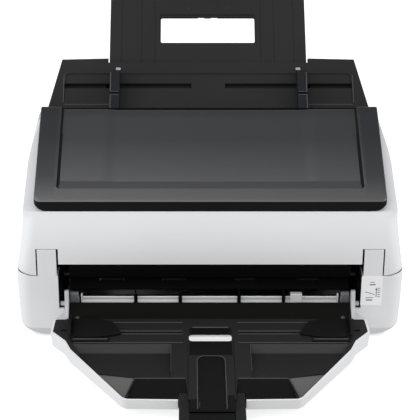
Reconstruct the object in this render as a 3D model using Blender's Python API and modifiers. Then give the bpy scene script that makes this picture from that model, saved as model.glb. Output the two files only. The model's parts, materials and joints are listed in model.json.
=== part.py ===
"""A desktop sheet-fed document scanner: hinged feeder cover, input chute, fold-down output tray.

X runs to the right, Y to the back, Z up. Sizes are in millimetres and MM turns them into metres.
"""

from math import cos, pi, radians, sin

import bmesh
import bpy
from mathutils import Matrix, Vector

MM = 0.001

# Body
BENCH_SHIFT_Y = -28.94  # the origin is under the middle of the whole object, behind the casing's front
WALL = 3.0
FOOT_HEIGHT = 6.7
CASING_BOTTOM = 6.0
CASING_SPLIT_Y = 200.0
CASING_DEPTH = 228.0
FLARE = ((6, 204), (14, 212), (80, 214.5), (120, 211), (160, 204), (206, 193.5), (260, 190))
CORNER_ROUND, FRONT_DEPTH = 7.0, 20.0
OPENING_HALF = 168.0
OPENING_LOW, SILL_LOW, SILL_HALF = 39.0, 26.0, 160.7
OPENING_TOP = 94.1
TAB_IN, TAB_OUT, TAB_TOP, TAB_DEPTH = 169.7, 193.3, 112.0, 13.0
LOBE_BOTTOM = 80.5

# Feeder cover hinge and its panel
COVER_AXIS = (6.0, 96.0)
COVER_NOTCH_RADIUS = 18.5
PANEL_FRONT = (12.0, 164.4)
PANEL_SLOPE = 26.0
PANEL_HALF, PANEL_LENGTH, PANEL_THICK = 193.0, 140.8, 12.5
RECESS_HALF, RECESS_FRONT, RECESS_DEPTH = 168.5, 19.0, 3.0

# Straight paper path: distance L along it from the chute's mouth, offset N above it
PATH_MOUTH = (183.5, 206.7)
PATH_SLOPE = 42.0
PATH_HALF = 156.0
PATH_GAP = 2.3
FRAME_THICK, COVER_FRAME_THICK = 3.0, 2.4
SIDE_FRAME_IN, SIDE_FRAME_OUT = 165.0, 167.6
PICK_L, FEED_L, SENSOR_L, EJECT_L = -80.0, -122.0, -162.0, -205.0
ROLLER_RADIUS, SHAFT_RADIUS, SLEEVE_RADIUS, IDLER_RADIUS = 9.0, 3.0, 4.5, 7.0
NIP_LOW, NIP_HIGH = 0.8, 1.2
FEED_BANDS = (-110.0, -40.0, 40.0, 110.0)
PICK_BANDS = (-30.0, 30.0)
BAND_HALF = 12.0
IDLER_REACH = 158.0
DRIVEN = {"pick": (PICK_L, PICK_BANDS), "feed": (FEED_L, FEED_BANDS), "eject": (EJECT_L, FEED_BANDS)}
IDLE = {
    "separation": (PICK_L, PICK_BANDS, ROLLER_RADIUS),
    "feed_idler": (FEED_L, FEED_BANDS, IDLER_RADIUS),
    "eject_idler": (EJECT_L, FEED_BANDS, IDLER_RADIUS),
}

# Input chute and its extension
CHUTE_THICK = 4.0
CHUTE_TOP = 65.0
SLOT_L = (28.0, 34.0)
GUIDE_IN, GUIDE_OUT = 105.0, 117.0
GUIDE_LOW, GUIDE_TOP, GUIDE_HEIGHT = -36.0, 49.0, 20.0
PINION_L, PINION_RADIUS = 31.0, 9.0
EXTENSION_HALF = 118.5

# Output tray: x, y forward from its hinge (negative), z above the hinge
TRAY_AXIS = (4.0, 43.5)
TRAY_SLOPE = 4.0
TRAY_TOP, TRAY_BOTTOM = -9.0, -21.0
TRAY_HALF_OUTLINE = (
    (155.5, -8), (173, -19), (174.7, -44), (159, -62.5),
    (152.6, -78.5), (93.8, -165), (88, -168.5), (35, -169.5),
)
TRAY_RIM = 3.2
ARM_IN, ARM_OUT, ARM_TOP = 157.0, 160.2, 16.0
FLAP_HALF, FLAP_FRONT, FLAP_REAR = 153.0, -18.0, 4.0
POCKET = ((42, -68), (142, -68), (86, -151), (42, -151))
HOLE_HALF, HOLE_FRONT, HOLE_REAR = 23.6, -62.0, -35.5
EXTENSION_GATE, EXTENSION_TOP, NOSE_END = 35.0, -12.0, -184.0

# Side buttons, rear sockets and cover latch, as places in the side or the rear view
BUTTONS = (("power_button", (60, 52), 7.0), ("scan_button", (88, 52), 9.0))
SOCKETS = (("power_inlet", (92, 40), (106, 52)), ("usb_socket", (122, 40), (134, 52)))
LATCH_AXIS = (110.0, 183.0)

# Drive
MOTOR_AXIS = (128.0, 52.0)
MOTOR_RADIUS = 21.0
PULLEY_X = (-182.0, -173.0)
MOTOR_PULLEY, FEED_PULLEY = 8.0, 12.0

FINISHES = {
    "white_plastic": ((0.80, 0.81, 0.82), 0.45, 0.0),
    "black_plastic": ((0.035, 0.035, 0.038), 0.45, 0.0),
    "dark_grey_plastic": ((0.06, 0.06, 0.065), 0.4, 0.0),
    "grey_plastic": ((0.45, 0.45, 0.45), 0.5, 0.0),
    "rubber": ((0.03, 0.03, 0.03), 0.8, 0.0),
    "steel": ((0.6, 0.6, 0.6), 0.3, 1.0),
    "glass": ((0.1, 0.12, 0.12), 0.05, 0.0),
    "board_green": ((0.03, 0.2, 0.08), 0.5, 0.0),
}


def clear_scene():
    for item in list(bpy.data.objects):
        bpy.data.objects.remove(item, do_unlink=True)


def new_collection(name):
    made = bpy.data.collections.new(name)
    bpy.context.scene.collection.children.link(made)
    return made


def finish(name):
    colour, roughness, metallic = FINISHES[name]
    made = bpy.data.materials.new(name)
    made.use_nodes = True
    shader = made.node_tree.nodes["Principled BSDF"]
    shader.inputs["Base Color"].default_value = (*colour, 1)
    shader.inputs["Roughness"].default_value = roughness
    shader.inputs["Metallic"].default_value = metallic
    return made


clear_scene()
PARTS = new_collection("document_scanner")
CUTTERS = new_collection("cutters")
BENCH = Matrix.Identity(4)


def inclined(point, slope):
    """A frame whose X is the object's X, at a point of the side view, tilted up to the back."""
    return Matrix.Translation((0, point[0] * MM, point[1] * MM)) @ Matrix.Rotation(radians(slope), 4, "X")


PATH = inclined(PATH_MOUTH, PATH_SLOPE)
PANEL = inclined(PANEL_FRONT, PANEL_SLOPE)
TRAY = inclined(TRAY_AXIS, TRAY_SLOPE)
SIDE_VIEW = Matrix.Rotation(radians(90), 4, "Z") @ Matrix.Rotation(radians(90), 4, "X")
ALONG_X = Matrix.Rotation(radians(90), 4, "Y")


def side_point(length, offset):
    """Where a point of the paper path lies in the side view, in millimetres."""
    place = PATH @ Vector((0, length * MM, offset * MM)) / MM
    return place.y, place.z


def add_object(name, mesh, finish_name, frame=BENCH):
    made = bpy.data.objects.new(name, mesh)
    made.matrix_world = frame
    if finish_name is None:
        CUTTERS.objects.link(made)
        made.hide_render = True
        made.display_type = "WIRE"
    else:
        PARTS.objects.link(made)
        mesh.materials.append(finish(finish_name))
    return made


def from_bmesh(name, shape, finish_name, frame=BENCH):
    mesh = bpy.data.meshes.new(name)
    shape.to_mesh(mesh)
    shape.free()
    return add_object(name, mesh, finish_name, frame)


def block(name, low, high, finish_name=None, frame=BENCH):
    """A box between two corners."""
    low, high = Vector(low) * MM, Vector(high) * MM
    size = Matrix.Diagonal((*(high - low), 1))
    shape = bmesh.new()
    bmesh.ops.create_cube(shape, size=1, matrix=Matrix.Translation((low + high) / 2) @ size)
    return from_bmesh(name, shape, finish_name, frame)


def disc(name, centre, radius, span, finish_name=None, sides=20, turn=ALONG_X, frame=BENCH):
    """A cylinder along X, from span[0] to span[1], at a point (y, z) of the side view."""
    length = (span[1] - span[0]) * MM
    middle = Vector(((span[0] + span[1]) / 2, *centre)) * MM
    shape = bmesh.new()
    bmesh.ops.create_cone(
        shape, cap_ends=True, segments=sides, radius1=radius * MM, radius2=radius * MM,
        depth=length, matrix=Matrix.Translation(middle) @ turn,
    )
    made = from_bmesh(name, shape, finish_name, frame)
    made.data.shade_smooth()
    made.data.set_sharp_from_angle(angle=radians(40))
    return made


def flat(name, outlines, low, high, finish_name=None, frame=BENCH):
    """Closed outlines in a frame's XY plane, made solid between two heights; inner ones are holes."""
    curve = bpy.data.curves.new(name, "CURVE")
    curve.dimensions = "2D"
    curve.fill_mode = "BOTH"
    curve.extrude = (high - low) / 2 * MM
    for outline in outlines:
        spline = curve.splines.new("POLY")
        spline.points.add(len(outline) - 1)
        spline.use_cyclic_u = True
        for point, (x, y) in zip(spline.points, outline):
            point.co = (x * MM, y * MM, 0, 1)
    guide = bpy.data.objects.new(name + "_outline", curve)
    bpy.context.scene.collection.objects.link(guide)
    graph = bpy.context.evaluated_depsgraph_get()
    mesh = bpy.data.meshes.new_from_object(guide.evaluated_get(graph))
    bpy.data.objects.remove(guide, do_unlink=True)
    bpy.data.curves.remove(curve)
    shape = bmesh.new()
    shape.from_mesh(mesh)
    bmesh.ops.remove_doubles(shape, verts=shape.verts, dist=1e-6)
    bmesh.ops.translate(shape, verts=shape.verts, vec=(0, 0, (low + high) / 2 * MM))
    bmesh.ops.recalc_face_normals(shape, faces=shape.faces)
    bpy.data.meshes.remove(mesh)
    return from_bmesh(name, shape, finish_name, frame)


def profile(name, outlines, span, finish_name=None):
    """Closed outlines of the side view (y, z), made solid along X, in bench coordinates."""
    made = flat(name, outlines, span[0], span[1], finish_name, SIDE_VIEW)
    made.data.transform(SIDE_VIEW)
    made.matrix_world = BENCH
    return made


def turned(name, outline, centre, finish_name, steps=20):
    """A profile of (radius, x) from the right end to the left, turned about the line y, z = centre."""
    shape = bmesh.new()
    corners = [shape.verts.new((radius * MM, 0, x * MM)) for radius, x in outline]
    for first, second in zip(corners, corners[1:]):
        shape.edges.new((first, second))
    frame = Matrix.Translation((0, centre[0] * MM, centre[1] * MM)) @ ALONG_X
    made = from_bmesh(name, shape, finish_name, frame)
    screw = made.modifiers.new("turn", "SCREW")
    screw.steps = steps
    screw.render_steps = steps
    screw.use_merge_vertices = True
    screw.merge_threshold = 0.00001
    return made


def boolean(target, tools, operation):
    for tool in tools:
        step = target.modifiers.new(operation.lower(), "BOOLEAN")
        step.operation = operation
        step.object = tool
    return target


def cut(target, *tools):
    return boolean(target, tools, "DIFFERENCE")


def join(target, *tools):
    return boolean(target, tools, "UNION")


def mirrored(outline):
    """A half outline at +X, front to back or back to front, closed by its mirror image."""
    return list(outline) + [(-x, y) for x, y in reversed(outline)]


def rectangle(x0, x1, y0, y1):
    return [(x0, y0), (x1, y0), (x1, y1), (x0, y1)]


def ring(centre, radius, sides=20):
    turns = [2 * pi * step / sides for step in range(sides)]
    return [(centre[0] + radius * cos(turn), centre[1] + radius * sin(turn)) for turn in turns]


def band(points, thickness):
    """The outline of a sheet of even thickness that follows the points."""
    points = [Vector(point) for point in points]
    runs = [(end - start).normalized() for start, end in zip(points, points[1:])]
    runs = [runs[0], *runs, runs[-1]]
    left, right = [], []
    for point, before, after in zip(points, runs, runs[1:]):
        middle = (before + after).normalized()
        across = Vector((-middle.y, middle.x)) * thickness / 2 / middle.dot(after)
        left.append(tuple(point + across))
        right.append(tuple(point - across))
    return left + right[::-1]


def half_width(height):
    """How far the casing's sides stand out at a height."""
    for (low, narrow), (high, wide) in zip(FLARE, FLARE[1:]):
        if height <= high:
            return narrow + (wide - narrow) * max(0, height - low) / (high - low)
    return FLARE[-1][1]


def is_front_corner(edge):
    """True for an edge at the front, between a face that looks forward and one that looks sideways."""
    normals = [face.normal for face in edge.link_faces]
    sideways = max(abs(normal.x) for normal in normals) > 0.9
    forward = min(normal.y for normal in normals) < -0.5
    return sideways and forward and all(vert.co.y < FRONT_DEPTH * MM for vert in edge.verts)


def flare_sides(item, inset=0.0, rounded=CORNER_ROUND):
    """Rounds the front corners of a full-width profile, then follows the casing's flared sides."""
    shape = bmesh.new()
    shape.from_mesh(item.data)
    widest = max(vert.co.x for vert in shape.verts)
    if rounded:
        corners = [edge for edge in shape.edges if is_front_corner(edge)]
        bmesh.ops.bevel(
            shape, geom=corners, offset=rounded * MM, segments=3, profile=0.5, affect="EDGES",
        )
    for height, _ in FLARE[1:-1]:
        bmesh.ops.bisect_plane(
            shape, geom=shape.verts[:] + shape.edges[:] + shape.faces[:],
            plane_co=(0, 0, height * MM), plane_no=(0, 0, 1), dist=1e-6,
        )
    for vert in shape.verts:
        wanted = (half_width(vert.co.z / MM) - inset) * MM
        side = 1 if vert.co.x > 0 else -1
        vert.co.x += side * (wanted - widest)
    shape.to_mesh(item.data)
    shape.free()


def lower_casing():
    """White base shell: two side walls and a front wall with the exit opening and two hinge tabs."""
    seam = [(22, 79), (148, 192.5), (165, 196), (CASING_SPLIT_Y, 188)]
    outline = [(9, CASING_BOTTOM), (0, 14), (0, 79), *seam, (CASING_SPLIT_Y, CASING_BOTTOM)]
    casing = profile("lower_casing", [outline], (-212, 212), "white_plastic")
    flare_sides(casing)
    hollow = profile(
        "lower_casing_hollow",
        [[(12, -20), (WALL, 15), (WALL, 79 - WALL), (22, 79 - WALL), (22, 260), (260, 260), (260, -20)]],
        (-205, 205),
    )
    flare_sides(hollow, WALL, 0)
    opening = block("exit_opening", (-OPENING_HALF, -20, OPENING_LOW), (OPENING_HALF, 30, 120))
    sill = block("exit_sill", (-SILL_HALF, -20, SILL_LOW), (SILL_HALF, 30, 60))
    cut(casing, hollow, opening, sill)
    for side in (-1, 1):
        name = "hinge_tab_right" if side > 0 else "hinge_tab_left"
        low, high = sorted((side * TAB_IN, side * TAB_OUT))
        tab = block(name, (low, 0, 70), (high, TAB_DEPTH, TAB_TOP))
        bore = disc(name + "_bore", COVER_AXIS, 3.3, (low - 5, high + 5))
        join(casing, tab)
        cut(casing, bore)
    for name, place, radius in BUTTONS:
        cut(casing, disc(name + "_hole", place, radius + 0.4, (190, 230)))
    return casing


def side_buttons():
    """Push buttons on the right side; each slides into the casing."""
    for name, place, radius in BUTTONS:
        disc(name, place, radius, (205, 214.3), "dark_grey_plastic")


def base():
    """Steel bottom plate on four rubber feet."""
    block("base_plate", (-198, 14, 7), (198, 197, 9), "steel")
    for front_back, y in (("front", 28), ("rear", 184)):
        for side, x in (("left", -178), ("right", 178)):
            shape = bmesh.new()
            bmesh.ops.create_cone(
                shape, cap_ends=True, segments=20, radius1=10 * MM, radius2=11 * MM,
                depth=FOOT_HEIGHT * MM, matrix=Matrix.Translation((x * MM, y * MM, FOOT_HEIGHT / 2 * MM)),
            )
            from_bmesh("foot_" + front_back + "_" + side, shape, "rubber")


def rear_cover():
    """White back shell with the cut-outs for the power inlet and the data socket."""
    start = CASING_SPLIT_Y + 0.4
    top = [(start, 196), (205, 194.5), (CASING_DEPTH, 176)]
    outline = [(start, CASING_BOTTOM), *top, (CASING_DEPTH, CASING_BOTTOM)]
    cover = profile("rear_cover", [outline], (-212, 212), "white_plastic")
    flare_sides(cover, 0, 0)
    inside = [(190, 9), (190, 191), (204, 191), (CASING_DEPTH - WALL, 174), (CASING_DEPTH - WALL, 9)]
    hollow = profile("rear_cover_hollow", [inside], (-205, 205))
    flare_sides(hollow, WALL, 0)
    cut(cover, hollow)
    for name, low, high in SOCKETS:
        hole = block(name + "_hole", (low[0] - 0.5, 220, low[1] - 0.5), (high[0] + 0.5, 235, high[1] + 0.5))
        cut(cover, hole)


def electronics():
    """Main board behind the paper path, its two sockets and the drive motor."""
    block("main_board", (-20, 206, 25), (150, 207.6, 135), "board_green")
    for name, low, high in SOCKETS:
        body = block(name, (low[0], 208, low[1]), (high[0], CASING_DEPTH - 0.4, high[1]), "black_plastic")
        mouth = block(
            name + "_mouth", (low[0] + 2, CASING_DEPTH - 12, low[1] + 2), (high[0] - 2, 240, high[1] - 2),
        )
        cut(body, mouth)
    disc("drive_motor", MOTOR_AXIS, MOTOR_RADIUS, (-160, -118), "steel", 24)


def roller_centre(length, radius, above):
    offset = NIP_HIGH + radius if above else NIP_LOW - radius
    return side_point(length, offset)


def side_frames():
    """Steel plates that carry the roller shafts and the tray's pins."""
    outline = [(4, 22), (4, 71), side_point(-215, 11), side_point(-60, 11), side_point(-60, -30), (180, 22)]
    bores = [
        ring(roller_centre(length, ROLLER_RADIUS, False), SHAFT_RADIUS + 0.3, 12)
        for length in (PICK_L, FEED_L, EJECT_L)
    ]
    spans = {"left": (-SIDE_FRAME_OUT, -SIDE_FRAME_IN), "right": (SIDE_FRAME_IN, SIDE_FRAME_OUT)}
    for side, span in spans.items():
        frame = profile("side_frame_" + side, [outline, *bores], span, "black_plastic")
        pin_slot = block("tray_pin_slot_" + side, (span[0] - 1, 0, 40), (span[1] + 1, 8, 47))
        cut(frame, pin_slot)
        if side == "left":
            motor_bore = disc("motor_bore", MOTOR_AXIS, 3.4, (span[0] - 1, span[1] + 1), None, 12)
            cut(frame, motor_bore)


def roller_holes(bands, length, reach):
    return [rectangle(x - BAND_HALF - 2, x + BAND_HALF + 2, length - reach, length + reach) for x in bands]


def path_frame(name, low, high, ends, glass_name, sensor_name, sensor_depth):
    """A guide plate along the paper path with its scan glass and the sensor behind the glass."""
    holes = roller_holes(FEED_BANDS, FEED_L, 11)
    holes += roller_holes(FEED_BANDS, EJECT_L, 11) if ends[0] < EJECT_L - 12 else []
    holes += roller_holes(PICK_BANDS, PICK_L, 12.5)
    holes.append(rectangle(-152, 152, SENSOR_L - 12, SENSOR_L + 12))
    plate = rectangle(-PATH_HALF, PATH_HALF, *ends)
    flat(name, [plate, *holes], low, high, "black_plastic", PATH)
    glass = rectangle(-151.6, 151.6, SENSOR_L - 11.6, SENSOR_L + 11.6)
    flat(glass_name, [glass], low + 0.3, high - 0.3, "glass", PATH)
    near, far = sorted((high + 1, high + sensor_depth) if low > 0 else (low - 1, low - sensor_depth))
    block(sensor_name, (-150, SENSOR_L - 14, near), (150, SENSOR_L + 14, far), "dark_grey_plastic", PATH)


def paper_path():
    """Lower and upper guide plates; the upper one belongs to the feeder cover."""
    path_frame("lower_path_frame", -FRAME_THICK, 0, (-226, -62), "lower_scan_glass", "lower_scan_sensor", 22)
    upper = (PATH_GAP, PATH_GAP + COVER_FRAME_THICK)
    path_frame("upper_path_frame", *upper, (-190, -66), "upper_scan_glass", "upper_scan_sensor", 22)


def feeder_walls():
    """Hopper wall at the back of the cover, and the shield behind the exit opening."""
    hopper = [side_point(length, offset) for length, offset in ((-60, 3.6), (-54, 7), (-31, 27.5))]
    profile("hopper_wall", [band(hopper, 2.4)], (-PATH_HALF, PATH_HALF), "black_plastic")
    lower = [side_point(length, offset) for length, offset in ((-214, 4), (-217, 18), (-213, 30))]
    profile("exit_shield", [band([*lower, (4.8, 92)], 2.0)], (-PATH_HALF, PATH_HALF), "black_plastic")


def roller_outline(bands, radius, sleeve):
    """Half section of a sleeve with raised bands, from its right end to its left."""
    outline = []
    for x in sorted(bands, reverse=True):
        right, left = x + BAND_HALF, x - BAND_HALF
        outline += [(sleeve, right), (radius, right), (radius, left), (sleeve, left)]
    return outline


def driven_roller(name, bands, centre):
    """A rubber sleeve that a shaft passes through."""
    bore, reach = SHAFT_RADIUS + 0.3, max(bands) + BAND_HALF + 4
    outline = [(bore, reach), (SLEEVE_RADIUS, reach), *roller_outline(bands, ROLLER_RADIUS, SLEEVE_RADIUS)]
    outline += [(SLEEVE_RADIUS, -reach), (bore, -reach), (bore, reach)]
    return turned(name, outline, centre, "rubber")


def idle_roller(name, bands, radius, centre):
    """A roller in one piece with its axle."""
    axle = [(0, IDLER_REACH), (SHAFT_RADIUS, IDLER_REACH)]
    outline = [*axle, *roller_outline(bands, radius, SHAFT_RADIUS)]
    outline += [(x, -y) for x, y in reversed(axle)]
    return turned(name, outline, centre, "rubber")


def rollers():
    """Driven rollers below the path, their free-running partners above it."""
    for name, (length, bands) in DRIVEN.items():
        centre = roller_centre(length, ROLLER_RADIUS, False)
        driven_roller(name + "_roller", bands, centre)
        left = -SIDE_FRAME_OUT - 2 if name == "pick" else PULLEY_X[0]
        disc(name + "_shaft", centre, SHAFT_RADIUS, (left, SIDE_FRAME_OUT + 2), "steel", 16)
    for name, (length, bands, radius) in IDLE.items():
        idle_roller(name + "_roller", bands, radius, roller_centre(length, radius, True))


def hull(points):
    """Convex outline round the points, counter-clockwise."""
    points = sorted(set(points))
    sides = []
    for row in (points, points[::-1]):
        side = []
        for point in row:
            while len(side) > 1 and turns_right(side[-2], side[-1], point):
                side.pop()
            side.append(point)
        sides += side[:-1]
    return sides


def turns_right(first, second, third):
    return (second[0] - first[0]) * (third[1] - first[1]) <= (second[1] - first[1]) * (third[0] - first[0])


def drive():
    """Toothed belt from the motor to the feed and eject shafts, outside the left side frame."""
    feed = roller_centre(FEED_L, ROLLER_RADIUS, False)
    eject = roller_centre(EJECT_L, ROLLER_RADIUS, False)
    wheels = ((MOTOR_AXIS, MOTOR_PULLEY), (feed, FEED_PULLEY), (eject, FEED_PULLEY))
    bore = SHAFT_RADIUS + 0.3
    for name, (centre, radius) in zip(("feed_pulley", "eject_pulley"), wheels[1:]):
        outline = [(bore, PULLEY_X[1]), (radius, PULLEY_X[1]), (radius, PULLEY_X[0]), (bore, PULLEY_X[0])]
        turned(name, outline + outline[:1], centre, "dark_grey_plastic")
    outline = [
        (0, -160.4), (SHAFT_RADIUS, -160.4), (SHAFT_RADIUS, PULLEY_X[1]), (MOTOR_PULLEY, PULLEY_X[1]),
        (MOTOR_PULLEY, PULLEY_X[0]), (0, PULLEY_X[0]),
    ]
    turned("motor_pulley", outline, MOTOR_AXIS, "steel")
    loops = [
        hull([point for centre, radius in wheels for point in ring(centre, radius + gap, 24)])
        for gap in (2.2, 0.4)
    ]
    profile("drive_belt", loops, (PULLEY_X[0] + 1, PULLEY_X[1] - 1), "rubber")


def exit_trim():
    """Grey bar below the exit with black ribs that stand in front of it."""
    block("exit_bar", (-150, 14, 34), (150, 17, 47), "grey_plastic")
    ribs = block("exit_ribs", (-152, 17.4, 34), (152, 20, 48), "black_plastic")
    for x in (-83, -33, 33, 83):
        bridge = block("exit_rib_bridge", (x - 1.2, 11, 47.3), (x + 1.2, 19, 52))
        front = block("exit_rib_front", (x - 1.2, 11, 37), (x + 1.2, 13.6, 58))
        join(ribs, bridge, front)


def upper_cover():
    """White feeder cover shell, open below, with lobes outside the hinge tabs."""
    rear_top = PANEL @ Vector((0, PANEL_LENGTH * MM, -(PANEL_THICK + 0.3) * MM)) / MM
    front_top = PANEL @ Vector((0, 3 * MM, -(PANEL_THICK + 0.3) * MM)) / MM
    seam_end = side_point(-30, 14.5)
    outline = [
        (0, LOBE_BOTTOM), (0, 114), (3.5, 130), (9, 145), (front_top.y - 4, front_top.z - 2),
        (front_top.y, front_top.z), (rear_top.y, rear_top.z), seam_end, (23, LOBE_BOTTOM),
    ]
    cover = profile("upper_cover", [outline], (-212, 212), "white_plastic")
    flare_sides(cover)
    inside = [
        (WALL, 40), (WALL, 114), (6.4, 129), (12, 144), (front_top.y + 1, front_top.z - WALL),
        (rear_top.y - WALL, rear_top.z - WALL), (seam_end[0] - WALL, seam_end[1] - 1), (150, 150), (60, 40),
    ]
    hollow = profile("upper_cover_hollow", [inside], (-205, 205))
    flare_sides(hollow, WALL, 0)
    mouth = block("cover_mouth", (-OPENING_HALF, -20, 60), (OPENING_HALF, 40, OPENING_TOP))
    back = block("cover_back", (-PATH_HALF - 4, 120, 150), (PATH_HALF + 4, 160, 211))
    slot = block("lever_slot", (185, 102, 172), (215, 130, 189))
    cut(cover, hollow, mouth, back, slot)
    for side in (-1, 1):
        name = "tab_notch_right" if side > 0 else "tab_notch_left"
        low, high = sorted((side * OPENING_HALF * 0.99, side * (TAB_OUT + 1.9)))
        cut(cover, disc(name, COVER_AXIS, COVER_NOTCH_RADIUS, (low, high), None, 32))
        cut(cover, block(name + "_foot", (low, -20, 60), (high, COVER_AXIS[0] + COVER_NOTCH_RADIUS, 97)))


def hinge_pins():
    """Steel pins through the casing's tabs."""
    for side, span in (("left", (-TAB_OUT - 1.2, -161)), ("right", (161, TAB_OUT + 1.2))):
        disc("hinge_pin_" + side, COVER_AXIS, 3.0, span, "steel", 16)


def top_panel():
    """Black panel on the cover with a shallow recess that is open at the back."""
    radius = 8
    corner = [
        (PANEL_HALF - radius + radius * cos(turn), radius - radius * sin(turn))
        for turn in (radians(step * 22.5) for step in range(5))
    ]
    outline = mirrored([(PANEL_HALF, PANEL_LENGTH), *corner])
    panel = flat("top_panel", [outline], -PANEL_THICK, 0, "black_plastic", PANEL)
    recess = flat(
        "panel_recess", [rectangle(-RECESS_HALF, RECESS_HALF, RECESS_FRONT, PANEL_LENGTH + 5)],
        -RECESS_DEPTH, 5, None, PANEL,
    )
    cut(panel, recess)


def latch():
    """Release lever on the right side, its shaft and the two hooks that hold the cover down."""
    shaft = disc("latch_shaft", LATCH_AXIS, 2.5, (-180, 190), "steel", 12)
    for low in (-180, 175.4):
        y, z = LATCH_AXIS
        arm = [(y - 4, z + 4), (y + 4, z + 4), (y + 4, z - 24), (y + 9, z - 24)]
        arm += [(y + 9, z - 29), (y - 4, z - 29)]
        join(shaft, profile("latch_hook", [arm], (low, low + 4.6)))
    block("release_lever", (190.4, 106, 176), (200.5, 122, 186), "black_plastic")


def input_chute():
    """Black paper support with the guides' slots, and the shroud behind it that holds the extension."""
    low_end, shoulder = -58, -30
    half = [
        (163, low_end), (163, shoulder), (187, shoulder), (189, 0), (178, CHUTE_TOP - 8), (172, CHUTE_TOP),
        (120.5, CHUTE_TOP), (120.5, CHUTE_TOP - 5),
    ]
    slots = [rectangle(*sorted((side * 20, side * 171)), *SLOT_L) for side in (-1, 1)]
    flat("input_chute", [mirrored(half), *slots], -CHUTE_THICK, 0, "black_plastic", PATH)
    back = [(187, 4), (176, CHUTE_TOP - 9), (170, CHUTE_TOP - 1)]
    shroud = flat("chute_shroud", [mirrored(back)], -17.6, -15.2, "black_plastic", PATH)
    cheek_in = EXTENSION_HALF + 3.5
    for side in (-1, 1):
        half = [(cheek_in, 4), *back, (cheek_in, CHUTE_TOP - 1)]
        cheek = [(side * x, y) for x, y in half][::side]
        join(shroud, flat("shroud_cheek", [cheek], -16, -7.2, None, PATH))


def side_block(name, side, across, along, above, finish_name=None, frame=PATH):
    """A box on one side (-1 left, 1 right) of a frame's middle line."""
    low, high = sorted((side * across[0], side * across[1]))
    return block(name, (low, along[0], above[0]), (high, along[1], above[1]), finish_name, frame)


def input_guides():
    """Side guides of the chute; each has a foot through the slot and a rack beneath the chute."""
    slot = (SLOT_L[0] + 0.5, SLOT_L[1] - 0.5)
    for name, side in (("input_guide_left", -1), ("input_guide_right", 1)):
        along = (GUIDE_LOW, GUIDE_TOP)
        guide = side_block(name, side, (GUIDE_IN, GUIDE_OUT), along, (0.4, 2.4), "dark_grey_plastic")
        wall = side_block("guide_wall", side, (GUIDE_IN, GUIDE_IN + 3), along, (1, GUIDE_HEIGHT))
        stem = (GUIDE_IN + 2, GUIDE_OUT - 2)
        foot = side_block("guide_foot", side, stem, slot, (-5, 1))
        rack_l = sorted(PINION_L + side * (PINION_RADIUS + reach) for reach in (0.3, 4.6))
        reach = (min(rack_l[0], slot[0]), max(rack_l[1], slot[1]))
        cross = side_block("guide_cross", side, stem, reach, (-6.6, -4.4))
        rack = side_block("guide_rack", side, (-59, GUIDE_IN + 4), rack_l, (-6.5, -4.5))
        join(guide, wall, foot, cross, rack)
    shape = bmesh.new()
    bmesh.ops.create_cone(
        shape, cap_ends=True, segments=20, radius1=PINION_RADIUS * MM, radius2=PINION_RADIUS * MM,
        depth=2 * MM, matrix=Matrix.Translation((0, PINION_L * MM, -5.5 * MM)),
    )
    from_bmesh("guide_pinion", shape, "grey_plastic", PATH)


def input_extension():
    """Two-stage paper support that slides out from behind the chute, the second stage behind the first."""
    window = rectangle(-57, 57, 94, 124)
    first = rectangle(-EXTENSION_HALF, EXTENSION_HALF, 20, 172)
    flat("input_extension", [first, window], -11.4, -7.4, "black_plastic", PATH)
    second = mirrored([(90, 132), (90, 208), (82, 214)])
    flat("input_extension_end", [second], -14.6, -11.9, "black_plastic", PATH)


def output_tray():
    """White fold-down tray with side arms and pins."""
    shell = flat("output_tray", [mirrored(TRAY_HALF_OUTLINE)], TRAY_BOTTOM, TRAY_TOP, "white_plastic", TRAY)
    inner = inset(TRAY_HALF_OUTLINE, TRAY_RIM)
    hollow = flat("tray_hollow", [mirrored(inner)], TRAY_BOTTOM + 2, 5, None, TRAY)
    hole = block("tray_hole", (-HOLE_HALF, HOLE_FRONT, -40), (HOLE_HALF, HOLE_REAR, 20), None, TRAY)
    gate_low, gate_high = (-EXTENSION_GATE, -190, TRAY_BOTTOM + 2), (EXTENSION_GATE, -160, 5)
    gate = block("tray_gate", gate_low, gate_high, None, TRAY)
    step = block("flap_step", (-153.8, -14, -12.6), (153.8, 5, 5), None, TRAY)
    cut(shell, hollow, hole, gate, step)
    for side in (-1, 1):
        span = sorted((side * ARM_IN, side * ARM_OUT))
        outline = [(-12, -14), (5, -5), (6, ARM_TOP - 4), (2, ARM_TOP), (-1, ARM_TOP), (-5, 6), (-16, -9)]
        arm = flat("tray_arm", [outline], *span, None, TRAY @ SIDE_VIEW)
        across, above = (ARM_IN, ARM_OUT), (TRAY_BOTTOM + 1, TRAY_TOP)
        heel = side_block("tray_heel", side, across, (-15.8, -8.5), above, frame=TRAY)
        pin = disc("tray_pin", (0, 0), 2.6, sorted((side * 159, side * 167.3)), None, 16, ALONG_X, TRAY)
        join(shell, arm, heel, pin)
    output_tray_liner(inner, hole)


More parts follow.
